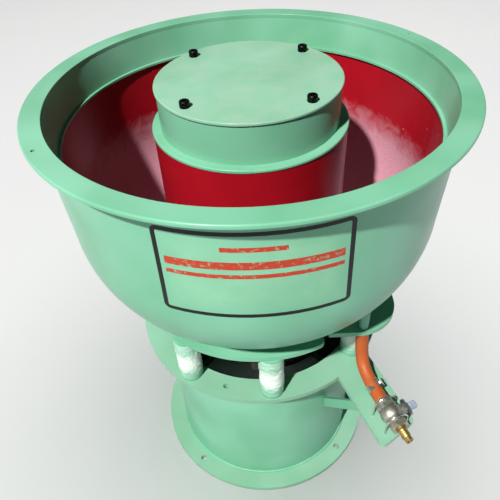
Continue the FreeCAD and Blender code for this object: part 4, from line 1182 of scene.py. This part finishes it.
outer = [hose_radius(hose_run[-1] - run) for run in hose_run]
inner = [0.0073 for run in hose_run]
STEPS_ROUND = 40
outer_rings = rings_along(hose_line, outer, STEPS_ROUND)
inner_rings = rings_along(hose_line, inner, STEPS_ROUND)
hose_mesh = skin_rings("drain_hose_rubber", outer_rings + inner_rings[::-1], closed=True)
face_outwards(hose_mesh)
hose_map = hose_mesh.uv_layers.new(name="around_and_along")
run_of_ring = hose_run + hose_run[::-1]
for face in hose_mesh.polygons:
    around = [hose_mesh.loops[k].vertex_index % STEPS_ROUND for k in face.loop_indices]
    crosses_seam = max(around) - min(around) > STEPS_ROUND / 2
    for k, j in zip(face.loop_indices, around):
        across_map = 1.0 if crosses_seam and j == 0 else j / STEPS_ROUND
        along_map = run_of_ring[hose_mesh.loops[k].vertex_index // STEPS_ROUND]
        hose_map.data[k].uv = (across_map, along_map)
hose_mesh.materials.append(hose_rubber)
hose = bpy.data.objects.new("drain_hose_rubber", hose_mesh)
bpy.context.scene.collection.objects.link(hose)
bend_with_bowl(hose)
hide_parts("drain_hose")
print("hose wall", len(hose_mesh.polygons), "faces")

# %% [markdown]
# ## The valve handle's dipped tip
# The short handle is cast, and its tab is dipped in grey vinyl, which leaves a soft rounded skin with a
# bead where it ends. Rings that go from a rounded rectangle to a smaller one make the cap, and it turns
# with the valve key.

# %% Dipped tip
HANDLE_ALONG = 285


def rounded_rectangle(centre, side, up, half_side, half_up, corner, steps=8):
    """A closed ring of points, going round the four corners."""
    ring = []
    for turn, (sx, sy) in enumerate(((1, 1), (-1, 1), (-1, -1), (1, -1))):
        for i in range(steps + 1):
            a = math.radians(90 * turn + 90 * i / steps)
            x = sx * (half_side - corner) + corner * math.cos(a)
            y = sy * (half_up - corner) + corner * math.sin(a)
            ring.append(centre + side * x + up * y)
    return ring


def dipped_tip(start, end):
    """A skin round the handle's tab between two distances across the arm, in millimetres."""
    up = Vector((0, 0, 1))
    shape = [(0.0, 4.9, 3.9, 1.4), (0.15, 5.5, 4.5, 1.8), (0.9, 5.6, 4.6, 1.9), (1.6, 5.2, 4.2, 1.8)]
    length = end - start
    shape += [(length - 2.2, 5.1, 4.1, 1.9), (length - 0.9, 4.7, 3.7, 2.0), (length - 0.2, 3.7, 2.7, 1.8),
              (length, 2.4, 1.5, 1.2)]
    rings = []
    for step, half_side, half_up, corner in shape:
        centre = on_arm(HANDLE_ALONG, start + step, VALVE_Z)
        rings.append(rounded_rectangle(centre, ALONG, up, half_side * 0.001, half_up * 0.001, corner * 0.001))
    return skin_rings("dipped_handle_tip", rings)


tip_mesh = dipped_tip(VALVE_ACROSS + 28.5, VALVE_ACROSS + 40.2)
face_outwards(tip_mesh)
tip_mesh.materials.append(grey_vinyl)
tip = bpy.data.objects.new("dipped_handle_tip", tip_mesh)
bpy.context.scene.collection.objects.link(tip)
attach(tip, "valve_key")
print("tip", len(tip_mesh.polygons), "faces")
